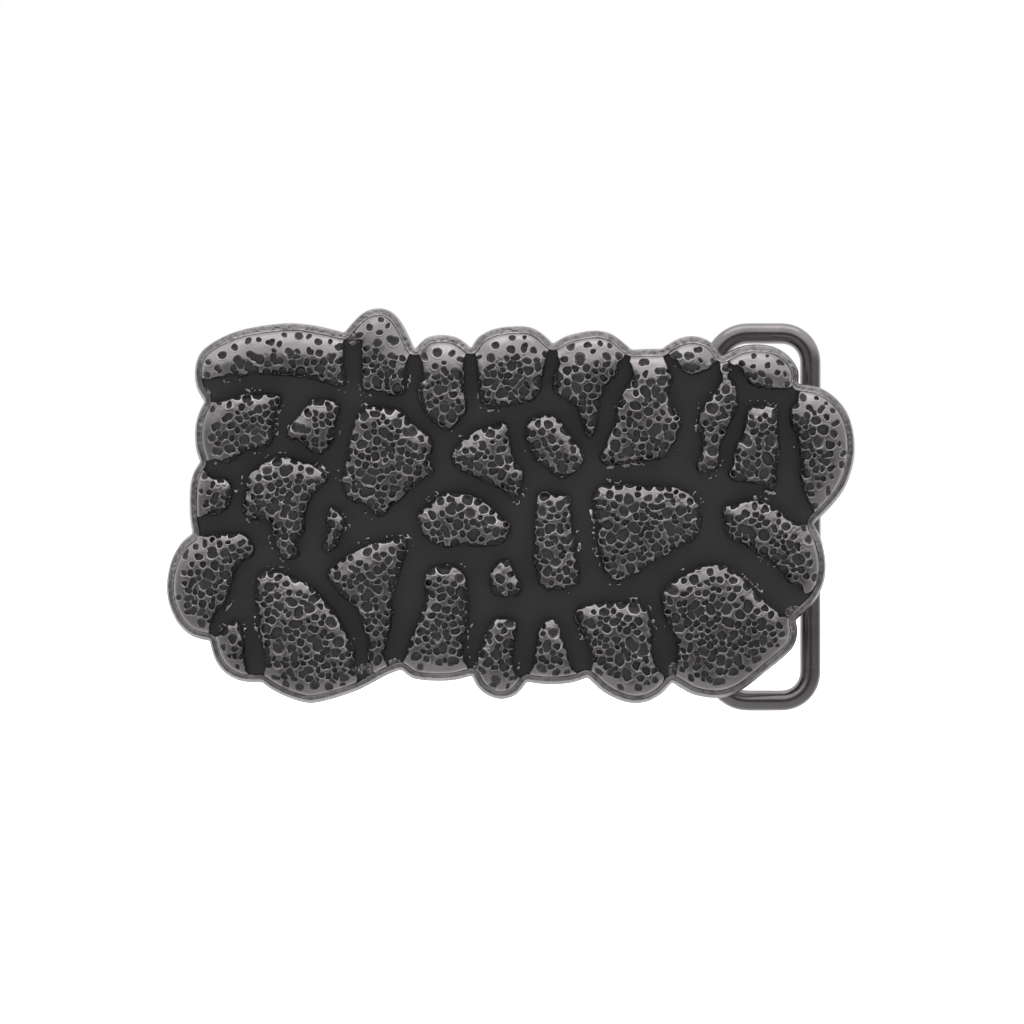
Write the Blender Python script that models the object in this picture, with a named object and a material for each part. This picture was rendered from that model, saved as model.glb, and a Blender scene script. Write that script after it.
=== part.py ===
"""Western plate buckle for a 38 mm belt: a scalloped cast face of pitted stones with black enamel
between them, a wire belt loop that swings in a rolled hinge strap, and a hook for the belt's holes.

The buckle stands as it is worn, seen from the front: the face looks along -Y, +X is the wearer's
left and the viewer's right, +Z is up. The origin is the middle of the flat pad on the back, on the
belt's centre line. Every length below is in millimetres.
"""

import math

import bmesh
import bpy
from mathutils import Vector
from mathutils.geometry import delaunay_2d_cdt

MM = 0.001

# The plate. Depths run along +Y, from the flange's front face to the back.
BOW_RADIUS = 300.0
PLATE_THICKNESS = 2.3
CHANNEL_DEPTH = 0.6
BACK_RECESS = 0.7
PAD_HEIGHT = 0.5
PAD_HALF_WIDTH = 9.0
PAD_HALF_HEIGHT = 5.0
EDGE_DRAFT = 0.25
EDGE_ROUND = 0.2
FLANGE_WIDTH = 0.65
CHANNEL_DRAFT = 0.1
BACK_LIP = 1.6
OUTLINE_STEPS = 2
SHEET_GRID = 7.0

# The stones, as heights in front of the flange's face.
STONE_ROOT = 0.35
STONE_SHOULDER = 1.25
STONE_CROWN = 2.45
STONE_TAPER = 0.32
CROWN_REACH = 2.6
CROWN_GRID = 2.2
MITRE_LIMIT = 0.55

# The enamel in the channels.
ENAMEL_SUNK = 0.12
ENAMEL_GAP = 0.08

# The belt loop, a bent wire whose ends turn inward along the hinge.
WIRE_RADIUS = 1.2
HINGE_X = 23.8
LOOP_BAR_X = 35.04
LOOP_ARM_Z = 21.4
LOOP_CORNER = 3.3
LOOP_HINGE_BEND = 3.9
LOOP_PIN_TIP_Z = 6.0
BEND_STEPS = 8

# The hinge strap, sheet rolled round the loop's ends, and its two rivets.
STRAP_SHEET = 0.9
STRAP_HALF_LENGTH = 15.0
STRAP_TAB_X = 16.6
STRAP_WRAP_DEGREES = 300
STRAP_WRAP_STEP = 12
BORE_CLEARANCE = 0.06
RIVET_X = 19.3
RIVET_Z = 9.5
RIVET_SHANK_RADIUS = 1.2
RIVET_HEAD_RADIUS = 2.1
RIVET_HEAD_HEIGHT = 0.9
RIVET_HEAD_EDGE = 0.1
RIVET_DOME_DEGREES = (0, 25, 50, 75)
BOSS_FACE = 4.0
BOSS_HALF_LENGTH = 4.5
BOSS_OVERHANG = 0.6
FIT_GAP = 0.05
HOLE_DEPTH = 1.5
DRILL_OVERRUN = 1.0

# The hook that takes the belt's holes, near the end away from the loop.
HOOK_X = -28.0
HOOK_RADIUS = 1.6
HOOK_BOSS_RADIUS = 4.4
HOOK_BASE_RADIUS = 3.7
HOOK_BASE_THICKNESS = 1.0
HOOK_BASE_BEVEL = 0.25
HOOK_GAP = 4.6
HOOK_BEND = 2.0
HOOK_NOSE = 2.6
# How far from the nose's tip the wire has which share of its radius.
HOOK_ROUNDING = ((1.0, 1.0), (0.5, 0.9), (0.15, 0.7), (0.0, 0.45))

# The origin's depth behind the flange's face: the pad's own face.
ORIGIN_DEPTH = PLATE_THICKNESS - BACK_RECESS + PAD_HEIGHT

# The plate's edge, clockwise from the notch at the upper left. Each lobe starts at a notch and is
# drawn as a smooth curve to the next lobe's notch.
EDGE_LOBES = (
    ((-35.5, 13.4), (-36.4, 15.0), (-36.6, 17.2), (-35.8, 19.3), (-33.2, 21.0), (-30.0, 22.0),
     (-25.5, 22.5), (-22.0, 22.1)),
    ((-19.2, 21.4), (-18.0, 22.8), (-16.8, 23.8), (-15.3, 24.2), (-13.9, 23.9), (-12.7, 22.8),
     (-11.8, 21.2)),
    ((-11.0, 19.5), (-9.8, 20.7), (-8.1, 21.1), (-6.4, 20.9), (-5.3, 20.3)),
    ((-4.5, 19.6), (-3.6, 20.9), (-1.8, 21.8), (0.4, 22.1), (2.3, 22.0), (3.7, 21.3)),
    ((5.0, 20.1), (6.6, 21.0), (9.5, 21.6), (11.6, 21.3), (13.1, 20.3)),
    ((14.1, 19.4), (15.8, 19.5)),
    ((17.6, 19.5), (19.3, 20.6), (21.2, 21.0), (23.0, 20.5), (24.1, 19.5)),
    ((24.6, 18.7), (26.4, 19.7), (28.6, 20.05), (30.8, 19.7), (32.5, 18.6), (33.5, 17.0)),
    ((33.5, 15.5), (35.6, 15.2), (37.6, 14.1), (39.2, 12.2), (40.0, 9.6), (40.0, 6.6), (39.0, 3.5),
     (37.3, 1.2)),
    ((35.3, -0.8), (36.1, -2.4), (36.7, -5.0), (36.5, -7.6), (35.3, -10.0)),
    ((33.2, -12.0), (33.4, -13.4), (32.7, -15.4), (29.8, -17.9), (27.2, -19.9), (25.3, -20.8),
     (23.4, -21.0), (21.0, -20.5)),
    ((18.8, -19.2), (17.7, -20.4), (16.2, -21.3), (14.5, -21.6), (12.6, -21.2), (10.6, -20.1)),
    ((9.0, -18.6), (7.2, -19.2), (5.0, -19.4), (3.2, -19.3)),
    ((2.0, -19.1), (0.7, -20.6), (-1.2, -21.1), (-3.0, -20.4), (-4.0, -19.3)),
    ((-4.4, -18.4), (-6.4, -18.9), (-8.8, -19.0), (-11.2, -18.7)),
    ((-12.6, -17.7), (-14.4, -18.4), (-17.4, -20.0), (-20.6, -21.1), (-23.2, -21.6), (-25.6, -21.0),
     (-27.5, -20.1)),
    ((-28.8, -19.2), (-31.0, -19.1), (-33.0, -18.2), (-34.3, -16.5)),
    ((-34.9, -14.4), (-36.9, -13.9), (-38.6, -12.4), (-39.7, -10.0), (-39.9, -7.4), (-39.3, -4.8),
     (-38.2, -3.0)),
    ((-36.9, -1.9), (-37.2, 0.2), (-37.2, 3.2), (-36.8, 5.1)),
    ((-36.0, 6.4), (-36.5, 8.0), (-36.6, 10.2), (-36.2, 12.0)),
)

# The stones' feet, each a closed outline.
STONES = (
    ((-35.9, 16.1), (-36.0, 17.4), (-35.4, 18.9), (-34.1, 20.2), (-32.3, 21.0), (-29.8, 21.5),
     (-27.3, 21.8), (-24.8, 21.8), (-22.4, 21.5), (-20.4, 21.0), (-19.3, 20.2), (-19.2, 18.4),
     (-19.4, 17.4), (-19.0, 16.2), (-19.1, 15.1), (-20.3, 15.2), (-21.6, 15.9), (-23.8, 16.4),
     (-26.5, 16.7), (-30.0, 16.6), (-33.4, 16.3)),
    ((-17.0, 21.6), (-16.8, 22.8), (-15.6, 23.4), (-14.3, 23.2), (-13.1, 22.4), (-12.4, 21.2),
     (-11.9, 19.6), (-12.0, 18.2), (-12.2, 16.4), (-12.2, 14.4), (-13.6, 14.2), (-15.6, 14.6),
     (-17.0, 14.8), (-17.0, 17.2), (-16.9, 19.4)),
    ((-10.1, 18.6), (-9.4, 19.8), (-8.0, 20.3), (-6.5, 19.9), (-5.5, 19.0), (-5.4, 17.2), (-5.7, 15.3),
     (-5.2, 13.8), (-5.0, 12.2), (-5.9, 11.2), (-7.3, 9.9), (-8.3, 10.8), (-9.4, 11.8), (-10.1, 13.2),
     (-10.4, 14.9), (-10.0, 16.6)),
    ((-3.8, 18.4), (-3.5, 19.8), (-2.4, 20.7), (-0.4, 21.2), (1.8, 21.1), (3.3, 20.6), (4.0, 19.7),
     (4.1, 18.4), (3.7, 16.6), (3.4, 14.8), (2.4, 13.6), (0.6, 13.1), (-1.4, 12.8), (-2.9, 12.9),
     (-3.3, 14.6), (-3.6, 16.5)),
    ((5.7, 17.8), (6.3, 19.3), (7.4, 20.3), (9.2, 20.8), (11.2, 20.6), (12.7, 19.8), (13.4, 18.9),
     (12.3, 17.9), (12.1, 16.6), (11.2, 15.6), (10.9, 14.5), (10.2, 13.6), (10.1, 12.0), (9.4, 9.2),
     (8.4, 11.2), (8.0, 12.7), (6.4, 13.7), (5.3, 14.8), (5.3, 16.4)),
    ((14.3, 18.7), (15.8, 18.9), (17.2, 18.7), (18.6, 16.6), (18.4, 15.0), (18.3, 13.5), (19.1, 12.0),
     (19.7, 10.7), (19.1, 9.0), (18.2, 7.2), (16.6, 6.8), (14.6, 6.8), (12.4, 6.3), (10.6, 6.5),
     (11.2, 8.4), (12.0, 10.4), (12.5, 12.4), (12.9, 14.1), (14.1, 15.6), (14.2, 16.8), (13.7, 17.8)),
    ((19.2, 18.2), (19.6, 19.2), (20.6, 19.9), (21.9, 20.1), (23.1, 19.7), (23.8, 18.8), (23.7, 17.8),
     (22.8, 17.0), (21.2, 16.5), (20.2, 16.9)),
    ((24.5, 17.4), (25.2, 17.2), (25.1, 16.0), (25.9, 15.7), (26.2, 14.4), (26.2, 12.7), (25.6, 11.6),
     (24.8, 10.2), (24.2, 8.0), (23.9, 5.8), (22.8, 5.1), (21.8, 5.2), (22.2, 7.4), (22.3, 9.4),
     (22.0, 11.0), (22.2, 12.6), (22.9, 13.2), (23.7, 14.4), (24.4, 15.8)),
    ((27.2, 18.8), (29.0, 19.1), (30.7, 18.7), (32.0, 17.9), (32.8, 16.7), (32.9, 15.5), (31.8, 14.8),
     (30.0, 15.1), (28.2, 15.3), (27.3, 16.4), (26.8, 17.5), (25.6, 17.7), (25.6, 18.4)),
    ((27.6, 12.7), (29.3, 12.7), (30.9, 12.4), (31.0, 10.4), (30.9, 8.6), (31.0, 6.9), (30.5, 5.4),
     (30.7, 3.2), (29.0, 3.9), (27.2, 4.3), (25.6, 4.6), (25.8, 6.2), (26.2, 8.2), (27.0, 9.7),
     (27.3, 11.3)),
    ((32.5, 12.0), (33.7, 13.7), (34.6, 14.4), (35.7, 14.2), (37.1, 13.3), (38.4, 11.8), (39.2, 9.6),
     (39.3, 6.7), (38.5, 4.1), (37.1, 2.2), (36.1, 1.3), (35.0, 1.2), (34.1, 2.8), (33.8, 5.0),
     (33.7, 7.4), (33.4, 9.4), (32.8, 10.8)),
    ((-35.2, 12.4), (-34.0, 13.1), (-32.8, 13.4), (-31.2, 14.0), (-29.2, 14.1), (-26.6, 14.0),
     (-27.2, 12.4), (-27.6, 10.8), (-27.5, 9.0), (-28.8, 8.1), (-30.4, 8.0), (-31.6, 7.3),
     (-32.2, 6.4), (-33.8, 6.7), (-35.0, 7.4), (-35.6, 9.0), (-35.6, 10.8)),
    ((-23.7, 12.3), (-22.8, 13.4), (-21.5, 13.3), (-20.1, 13.3), (-19.8, 12.0), (-20.3, 10.4),
     (-20.6, 8.6), (-21.7, 7.3), (-22.7, 7.6), (-23.6, 8.7), (-24.6, 9.2), (-25.7, 9.1), (-25.2, 10.6),
     (-24.6, 11.6)),
    ((-17.4, 12.1), (-15.8, 12.7), (-14.0, 12.5), (-12.4, 12.0), (-11.3, 10.6), (-10.0, 9.9),
     (-8.9, 8.7), (-9.4, 7.2), (-9.2, 6.0), (-8.7, 5.1), (-10.1, 4.3), (-11.4, 3.4), (-12.3, 2.2),
     (-13.6, 1.9), (-14.6, 0.3), (-15.7, 0.5), (-16.8, 1.7), (-18.3, 1.9), (-19.4, 3.4), (-19.1, 5.2),
     (-18.7, 7.4), (-18.2, 9.6), (-17.9, 11.2)),
    ((-35.8, 4.4), (-34.6, 4.5), (-33.4, 4.3), (-32.5, 4.0), (-32.2, 2.6), (-32.8, 1.4), (-33.9, 0.5),
     (-35.4, 0.6), (-36.0, 1.9), (-36.1, 3.2)),
    ((-30.4, 4.0), (-30.0, 5.1), (-28.7, 6.1), (-27.3, 6.7), (-25.6, 6.7), (-23.7, 6.1), (-22.1, 5.5),
     (-21.2, 4.6), (-22.3, 3.0), (-23.2, 2.1), (-23.7, 0.4), (-23.9, -1.4), (-24.8, -2.8),
     (-24.5, -4.3), (-25.6, -4.7), (-26.7, -4.0), (-27.2, -2.4), (-27.4, -0.7), (-28.9, 0.0),
     (-30.3, 0.0), (-30.7, 1.2), (-30.3, 2.6)),
    ((-20.6, 1.2), (-19.8, 0.3), (-19.1, -0.6), (-19.7, -1.6), (-20.0, -2.9), (-20.8, -3.9),
     (-21.5, -3.7), (-21.1, -2.4), (-20.8, -1.4), (-21.0, -0.4)),
    ((-6.3, 7.8), (-5.3, 9.0), (-3.8, 9.7), (-2.0, 10.6), (-0.5, 10.8), (-0.3, 9.2), (0.0, 7.6),
     (0.5, 6.2), (1.5, 5.2), (1.3, 3.6), (0.5, 1.8), (-0.6, 3.3), (-2.2, 3.7), (-3.8, 4.6),
     (-5.5, 5.2), (-6.5, 6.4)),
    ((2.0, 10.5), (3.2, 11.4), (4.6, 11.8), (5.8, 11.0), (6.9, 9.5), (7.8, 8.2), (8.5, 7.0),
     (7.9, 5.5), (6.3, 4.6), (4.8, 5.3), (3.1, 6.5), (2.4, 8.0), (2.0, 9.2)),
    ((-10.7, 0.1), (-9.5, 1.2), (-8.2, 2.3), (-6.8, 2.9), (-5.0, 2.6), (-3.3, 1.8), (-1.7, 0.6),
     (0.0, -0.9), (-0.6, -2.6), (-2.6, -3.1), (-5.0, -3.1), (-7.8, -3.2), (-9.4, -2.6), (-10.3, -1.2)),
    ((3.1, 2.4), (5.0, 2.5), (6.9, 2.5), (6.9, 0.8), (7.1, -0.9), (7.5, -2.6), (7.4, -4.2),
     (7.8, -5.8), (7.9, -7.6), (6.3, -8.1), (4.6, -8.3), (3.4, -7.9), (3.4, -6.2), (2.9, -4.6),
     (2.9, -2.6), (2.9, -0.8), (3.0, 0.8)),
    ((9.5, 2.4), (10.4, 3.5), (12.4, 3.6), (14.6, 3.5), (17.0, 3.4), (19.4, 3.2), (21.1, 2.3),
     (21.9, 0.9), (22.0, -1.0), (21.3, -2.3), (19.6, -3.4), (17.8, -4.5), (16.0, -5.5), (14.2, -6.7),
     (12.4, -7.5), (11.3, -6.6), (10.9, -4.8), (10.1, -3.0), (10.3, -1.2), (9.9, 0.8)),
    ((24.8, 1.0), (26.4, 1.5), (28.0, 1.8), (29.8, 1.4), (31.2, 0.5), (32.4, -0.7), (33.8, -1.4),
     (34.8, -3.0), (35.1, -5.0), (34.9, -7.0), (34.0, -8.1), (32.8, -7.8), (31.7, -6.2), (30.2, -4.9),
     (28.3, -4.0), (27.2, -2.8), (25.6, -2.6), (24.9, -0.9)),
    ((-36.9, -2.9), (-35.2, -2.5), (-33.4, -2.2), (-31.9, -1.8), (-30.7, -2.0), (-29.4, -3.8),
     (-30.8, -4.8), (-31.9, -6.2), (-32.3, -8.0), (-32.8, -9.8), (-34.1, -10.9), (-34.7, -12.4),
     (-35.4, -13.1), (-37.0, -13.1), (-38.3, -12.0), (-39.0, -9.8), (-39.0, -7.4), (-38.5, -5.2),
     (-37.7, -3.7)),
    ((-31.8, -11.8), (-31.2, -13.2), (-31.0, -14.8), (-30.9, -16.4), (-30.6, -17.7), (-31.9, -17.9),
     (-33.1, -17.0), (-33.8, -15.6), (-33.7, -14.0), (-32.7, -12.8)),
    ((-29.0, -6.5), (-27.2, -6.4), (-25.2, -6.9), (-23.5, -7.9), (-21.8, -9.3), (-20.5, -10.8),
     (-19.4, -12.8), (-18.4, -14.6), (-18.1, -16.6), (-18.4, -18.6), (-20.0, -19.7), (-22.2, -20.4),
     (-24.2, -20.5), (-26.0, -19.8), (-27.4, -18.5), (-28.1, -16.4), (-28.6, -14.0), (-29.0, -11.6),
     (-29.4, -9.2), (-29.4, -7.6)),
    ((-21.1, -6.6), (-19.7, -5.2), (-18.1, -4.1), (-16.2, -3.1), (-14.0, -2.7), (-11.9, -2.7),
     (-12.5, -4.6), (-12.9, -6.6), (-13.5, -8.8), (-13.8, -11.0), (-14.2, -13.4), (-14.6, -15.6),
     (-15.0, -17.1), (-16.0, -17.0), (-16.2, -14.8), (-16.8, -12.8), (-17.2, -10.9), (-18.6, -9.4),
     (-20.4, -8.0)),
    ((-9.4, -6.2), (-8.0, -5.6), (-6.3, -5.8), (-5.1, -6.8), (-5.0, -8.8), (-4.7, -10.6),
     (-5.2, -12.6), (-5.6, -14.8), (-5.2, -16.9), (-6.8, -17.9), (-9.0, -18.0), (-11.2, -17.5),
     (-12.0, -16.2), (-11.4, -14.2), (-10.6, -12.4), (-10.0, -10.6), (-9.5, -9.2), (-9.7, -7.6)),
    ((-0.6, -4.9), (0.3, -6.2), (1.2, -7.9), (0.8, -8.9), (-1.0, -9.1), (-2.3, -8.2), (-2.0, -6.4)),
    ((-2.1, -11.8), (-0.6, -11.9), (0.6, -11.9), (0.5, -13.6), (0.2, -15.4), (0.3, -17.4),
     (0.9, -18.8), (0.0, -20.1), (-1.5, -20.4), (-2.9, -19.7), (-3.7, -18.2), (-3.4, -16.0),
     (-3.1, -14.4), (-2.4, -13.0)),
    ((3.9, -12.0), (5.3, -11.8), (5.9, -13.6), (6.5, -15.2), (6.8, -16.8), (7.2, -17.8), (5.0, -18.0),
     (2.9, -17.7), (3.0, -15.8), (3.2, -14.0)),
    ((7.6, -11.2), (8.8, -10.3), (10.8, -10.0), (13.2, -10.1), (15.3, -10.1), (16.0, -12.0),
     (16.4, -14.2), (16.5, -16.0), (17.0, -17.8), (16.6, -19.4), (15.4, -20.2), (13.6, -20.4),
     (11.8, -19.8), (10.2, -18.7), (9.7, -17.0), (9.4, -15.2), (8.6, -13.4)),
    ((17.6, -9.0), (18.6, -7.6), (20.4, -6.6), (22.4, -5.7), (24.4, -5.6), (26.2, -6.7), (27.8, -8.0),
     (29.2, -9.6), (30.8, -11.0), (32.2, -12.4), (32.3, -14.0), (31.2, -15.8), (29.4, -17.2),
     (27.6, -18.5), (25.8, -19.5), (23.8, -19.9), (21.6, -19.5), (19.9, -18.4), (19.2, -16.6),
     (19.5, -14.8), (18.8, -13.0), (17.9, -11.0)),
)

GUNMETAL = (0.13, 0.125, 0.13, 1.0)
BLACK_ENAMEL = (0.012, 0.012, 0.012, 1.0)
STEEL = (0.22, 0.21, 0.215, 1.0)


def clear_scene():
    for old in list(bpy.data.objects):
        bpy.data.objects.remove(old, do_unlink=True)


def material(name, color, metallic, roughness):
    made = bpy.data.materials.new(name)
    made.use_nodes = True
    shader = made.node_tree.nodes["Principled BSDF"]
    shader.inputs["Base Color"].default_value = color
    shader.inputs["Metallic"].default_value = metallic
    shader.inputs["Roughness"].default_value = roughness
    return made


def bow(x):
    """How far the plate falls back at x, as a belt round a waist does."""
    return x ** 2 / (2 * BOW_RADIUS)


def place(x, depth, z):
    """A point of the buckle in metres. Depth is measured from the flange's front face."""
    return Vector((x * MM, (depth - ORIGIN_DEPTH) * MM, z * MM))


def new_object(name, bm, look):
    bmesh.ops.recalc_face_normals(bm, faces=bm.faces)
    mesh = bpy.data.meshes.new(name)
    bm.to_mesh(mesh)
    bm.free()
    mesh.materials.append(look)
    made = bpy.data.objects.new(name, mesh)
    bpy.context.scene.collection.objects.link(made)
    return made


def as_cutter(made):
    made.hide_render = True
    made.display_type = "WIRE"
    return made


def boolean(target, other, operation):
    step = target.modifiers.new(f"{operation.lower()} {other.name}", "BOOLEAN")
    step.operation = operation
    step.solver = "EXACT"
    step.object = other


def smooth_span(points, steps):
    """A Catmull-Rom curve through the points, without its last point."""
    first = [2 * a - b for a, b in zip(points[0], points[1])]
    last = [2 * a - b for a, b in zip(points[-1], points[-2])]
    run = [first, *points, last]
    curve = []
    for a, b, c, d in zip(run, run[1:], run[2:], run[3:]):
        for step in range(steps):
            t = step / steps
            curve.append(tuple(
                q + 0.5 * t * (r - p + t * (2 * p - 5 * q + 4 * r - s + t * (3 * q - p - 3 * r + s)))
                for p, q, r, s in zip(a, b, c, d)
            ))
    return curve


def plate_outline():
    outline = []
    for lobe, after in zip(EDGE_LOBES, EDGE_LOBES[1:] + EDGE_LOBES[:1]):
        outline += smooth_span([*lobe, after[0]], OUTLINE_STEPS)
    return outline


def inset(outline, distance):
    """The clockwise outline moved inward, or outward where distance is negative."""
    moved = []
    for before, here, after in zip(outline[-1:] + outline[:-1], outline, outline[1:] + outline[:1]):
        arriving = (Vector(here) - Vector(before)).normalized()
        leaving = (Vector(after) - Vector(here)).normalized()
        inward = Vector((arriving.y + leaving.y, -arriving.x - leaving.x)).normalized()
        slant = max(MITRE_LIMIT, inward.dot(Vector((leaving.y, -leaving.x))))
        moved.append(tuple(Vector(here) + inward * (distance / slant)))
    return moved


def walls(bm, rings):
    """Open walls between rings of (x, depth, z) points."""
    rows = [[bm.verts.new(place(*point)) for point in ring] for ring in rings]
    for row, following in zip(rows, rows[1:]):
        for i, vert in enumerate(row):
            j = (i + 1) % len(row)
            bm.faces.new((vert, row[j], following[j], following[i]))
    return rows


def loft(bm, rings):
    """A solid between flat rings, closed by a face at each end."""
    rows = walls(bm, rings)
    bm.faces.new(reversed(rows[0]))
    bm.faces.new(rows[-1])


def level(outline, depth):
    return [(x, depth, z) for x, z in outline]


def bowed(outline, depth):
    return [(x, depth + bow(x), z) for x, z in outline]


def grid_inside(outline, spacing, margin):
    """Staggered grid points at least the margin inside the outline."""
    xs = [x for x, _ in outline]
    zs = [z for _, z in outline]
    columns = range(math.floor(min(xs) / spacing), math.ceil(max(xs) / spacing) + 1)
    found = []
    for row in range(math.floor(min(zs) / spacing), math.ceil(max(zs) / spacing) + 1):
        for column in columns:
            point = ((column + 0.5 * (row % 2)) * spacing, row * spacing)
            if inside(point, outline) and distance_to_edge(point, outline) > margin:
                found.append(point)
    return found


def triangulate(outline, extra):
    """(points, triangles) of the area inside a clockwise outline, through the extra points."""
    flat = [Vector(point) for point in outline + extra]
    found = delaunay_2d_cdt(flat, [], [list(reversed(range(len(outline))))], 1, 1e-5)
    return found[0], found[2]


def bowed_sheet(bm, row, outline, depth):
    """A face over the row of points that follows the bow between them."""
    points, triangles = triangulate(outline, grid_inside(outline, SHEET_GRID, 0.3 * SHEET_GRID))
    added = [bm.verts.new(place(p.x, depth + bow(p.x), p.y)) for p in points[len(row):]]
    verts = row + added
    for triangle in triangles:
        bm.faces.new([verts[i] for i in triangle])


def plate_blank(outline, look):
    """The plate with its rounded front edge, enamel channel and recessed back."""
    front_edge = EDGE_DRAFT + EDGE_ROUND
    channel = front_edge + FLANGE_WIDTH
    floor = inset(outline, channel + CHANNEL_DRAFT)
    recess = inset(outline, BACK_LIP + CHANNEL_DRAFT)
    recess_depth = PLATE_THICKNESS - BACK_RECESS
    bm = bmesh.new()
    rows = walls(bm, [
        bowed(floor, CHANNEL_DEPTH),
        bowed(inset(outline, channel), 0.0),
        bowed(inset(outline, front_edge), 0.0),
        bowed(inset(outline, EDGE_DRAFT), EDGE_ROUND),
        bowed(outline, PLATE_THICKNESS),
        bowed(inset(outline, BACK_LIP), PLATE_THICKNESS),
        bowed(recess, recess_depth),
    ])
    bowed_sheet(bm, rows[0], floor, CHANNEL_DEPTH)
    bowed_sheet(bm, rows[-1], recess, recess_depth)
    return new_object("face_casting", bm, look)


def distance_to_edge(point, outline):
    """The shortest way from the point to the outline."""
    best = math.inf
    here = Vector(point)
    for a, b in zip(outline, outline[1:] + outline[:1]):
        start = Vector(a)
        along = Vector(b) - start
        share = max(0.0, min(1.0, (here - start).dot(along) / along.length_squared))
        best = min(best, (here - start - along * share).length)
    return best


def inside(point, outline):
    x, z = point
    crossings = 0
    for (ax, az), (bx, bz) in zip(outline, outline[1:] + outline[:1]):
        if (az > z) != (bz > z) and x < ax + (bx - ax) * (z - az) / (bz - az):
            crossings += 1
    return crossings % 2 == 1


def crown_height(point, shoulder):
    """The dome: steep at the shoulder, level from CROWN_REACH inward."""
    reach = min(1.0, distance_to_edge(point, shoulder) / CROWN_REACH)
    return STONE_SHOULDER + (STONE_CROWN - STONE_SHOULDER) * math.sqrt(1 - (1 - reach) ** 2)


def add_stone(bm, foot):
    """One stone: a root inside the plate, slanting sides and a domed crown."""
    shoulder = inset(list(foot), STONE_TAPER)
    crown = grid_inside(shoulder, CROWN_GRID, 0.35 * CROWN_GRID)
    if not crown:
        crown = [tuple(sum(values) / len(shoulder) for values in zip(*shoulder))]
    points, triangles = triangulate(shoulder, crown)
    rim = len(shoulder)
    top = []
    for i, point in enumerate(points):
        height = STONE_SHOULDER if i < rim else crown_height(tuple(point), shoulder)
        top.append(bm.verts.new(place(point.x, bow(point.x) - height, point.y)))
    for triangle in triangles:
        bm.faces.new([top[i] for i in triangle])
    root_depth = CHANNEL_DEPTH + STONE_ROOT
    root = [bm.verts.new(place(x, bow(x) + root_depth, z)) for x, z in foot]
    collar = [bm.verts.new(place(x, bow(x), z)) for x, z in foot]
    for i in range(rim):
        j = (i + 1) % rim
        bm.faces.new((root[i], root[j], collar[j], collar[i]))
        bm.faces.new((collar[i], collar[j], top[j], top[i]))
    bm.faces.new(reversed(root))


def stones(look):
    bm = bmesh.new()
    for foot in STONES:
        add_stone(bm, foot)
    return as_cutter(new_object("stone_lumps", bm, look))


def box(name, x_range, depth_range, z_range, look):
    left, right = x_range
    low, high = z_range
    ring = [(left, low), (left, high), (right, high), (right, low)]
    bm = bmesh.new()
    loft(bm, [level(ring, depth) for depth in depth_range])
    return new_object(name, bm, look)


def circle(center, radius, sides):
    turns = [2 * math.pi * i / sides for i in range(sides)]
    return [(center[0] + radius * math.cos(a), center[1] + radius * math.sin(a)) for a in turns]


def turned(name, center, profile, sides, look):
    """A solid turned about the line along Y at center, from (radius, depth) rings."""
    bm = bmesh.new()
    loft(bm, [level(circle(center, radius, sides), depth) for radius, depth in profile])
    return new_object(name, bm, look)


def rivet_centers():
    return (("upper", (RIVET_X, RIVET_Z)), ("lower", (RIVET_X, -RIVET_Z)))


def seat_root(nearest, farthest):
    """A depth that stays inside the bowed web between these distances from the middle."""
    channel_floor = bow(farthest) + CHANNEL_DEPTH
    recess_floor = bow(nearest) + PLATE_THICKNESS - BACK_RECESS
    return 0.5 * (channel_floor + recess_floor)


def add_seats(casting, look):
    """The flat seats on the back: the marking pad, two for the hinge strap and one for the hook."""
    pad_root = seat_root(0, PAD_HALF_WIDTH)
    seats = [box("seat_pad", (-PAD_HALF_WIDTH, PAD_HALF_WIDTH), (pad_root, ORIGIN_DEPTH),
                 (-PAD_HALF_HEIGHT, PAD_HALF_HEIGHT), look)]
    left = STRAP_TAB_X - BOSS_OVERHANG
    right = HINGE_X + WIRE_RADIUS + STRAP_SHEET
    for side, (_, z) in rivet_centers():
        seats.append(box(f"seat_hinge_{side}", (left, right), (seat_root(left, right), BOSS_FACE),
                         (z - BOSS_HALF_LENGTH, z + BOSS_HALF_LENGTH), look))
    hook_root = seat_root(-HOOK_X - HOOK_BOSS_RADIUS, -HOOK_X + HOOK_BOSS_RADIUS)
    hook_profile = [(HOOK_BOSS_RADIUS, hook_root), (HOOK_BOSS_RADIUS, BOSS_FACE)]
    seats.append(turned("seat_hook", (HOOK_X, 0.0), hook_profile, 24, look))
    for seat in seats:
        boolean(casting, as_cutter(seat), "UNION")


def drill(target, name, center, radius, depths, look):
    cutter = turned(name, center, [(radius, depths[0]), (radius, depths[1])], 20, look)
    boolean(target, as_cutter(cutter), "DIFFERENCE")


def face_casting(outline, look):
    casting = plate_blank(outline, look)
    add_seats(casting, look)
    depths = (BOSS_FACE - HOLE_DEPTH, BOSS_FACE + DRILL_OVERRUN)
    for side, center in rivet_centers():
        drill(casting, f"hole_rivet_{side}", center, RIVET_SHANK_RADIUS + FIT_GAP, depths, look)
    drill(casting, "hole_hook", (HOOK_X, 0.0), HOOK_RADIUS + FIT_GAP, depths, look)
    boolean(casting, stones(look), "UNION")


def fill_triangles(rim, wells):
    """(points, triangles) of the channel's area, inside the rim and outside the wells."""
    points = []
    loops = []
    for loop in [rim, *wells]:
        loops.append(list(reversed(range(len(points), len(points) + len(loop)))))
        points += loop
    found = delaunay_2d_cdt([Vector(point) for point in points], [], loops, 0, 1e-4)
    corners, triangles, sources = found[0], found[2], found[5]
    return corners, [triangle for triangle, source in zip(triangles, sources) if list(source) == [0]]


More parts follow.
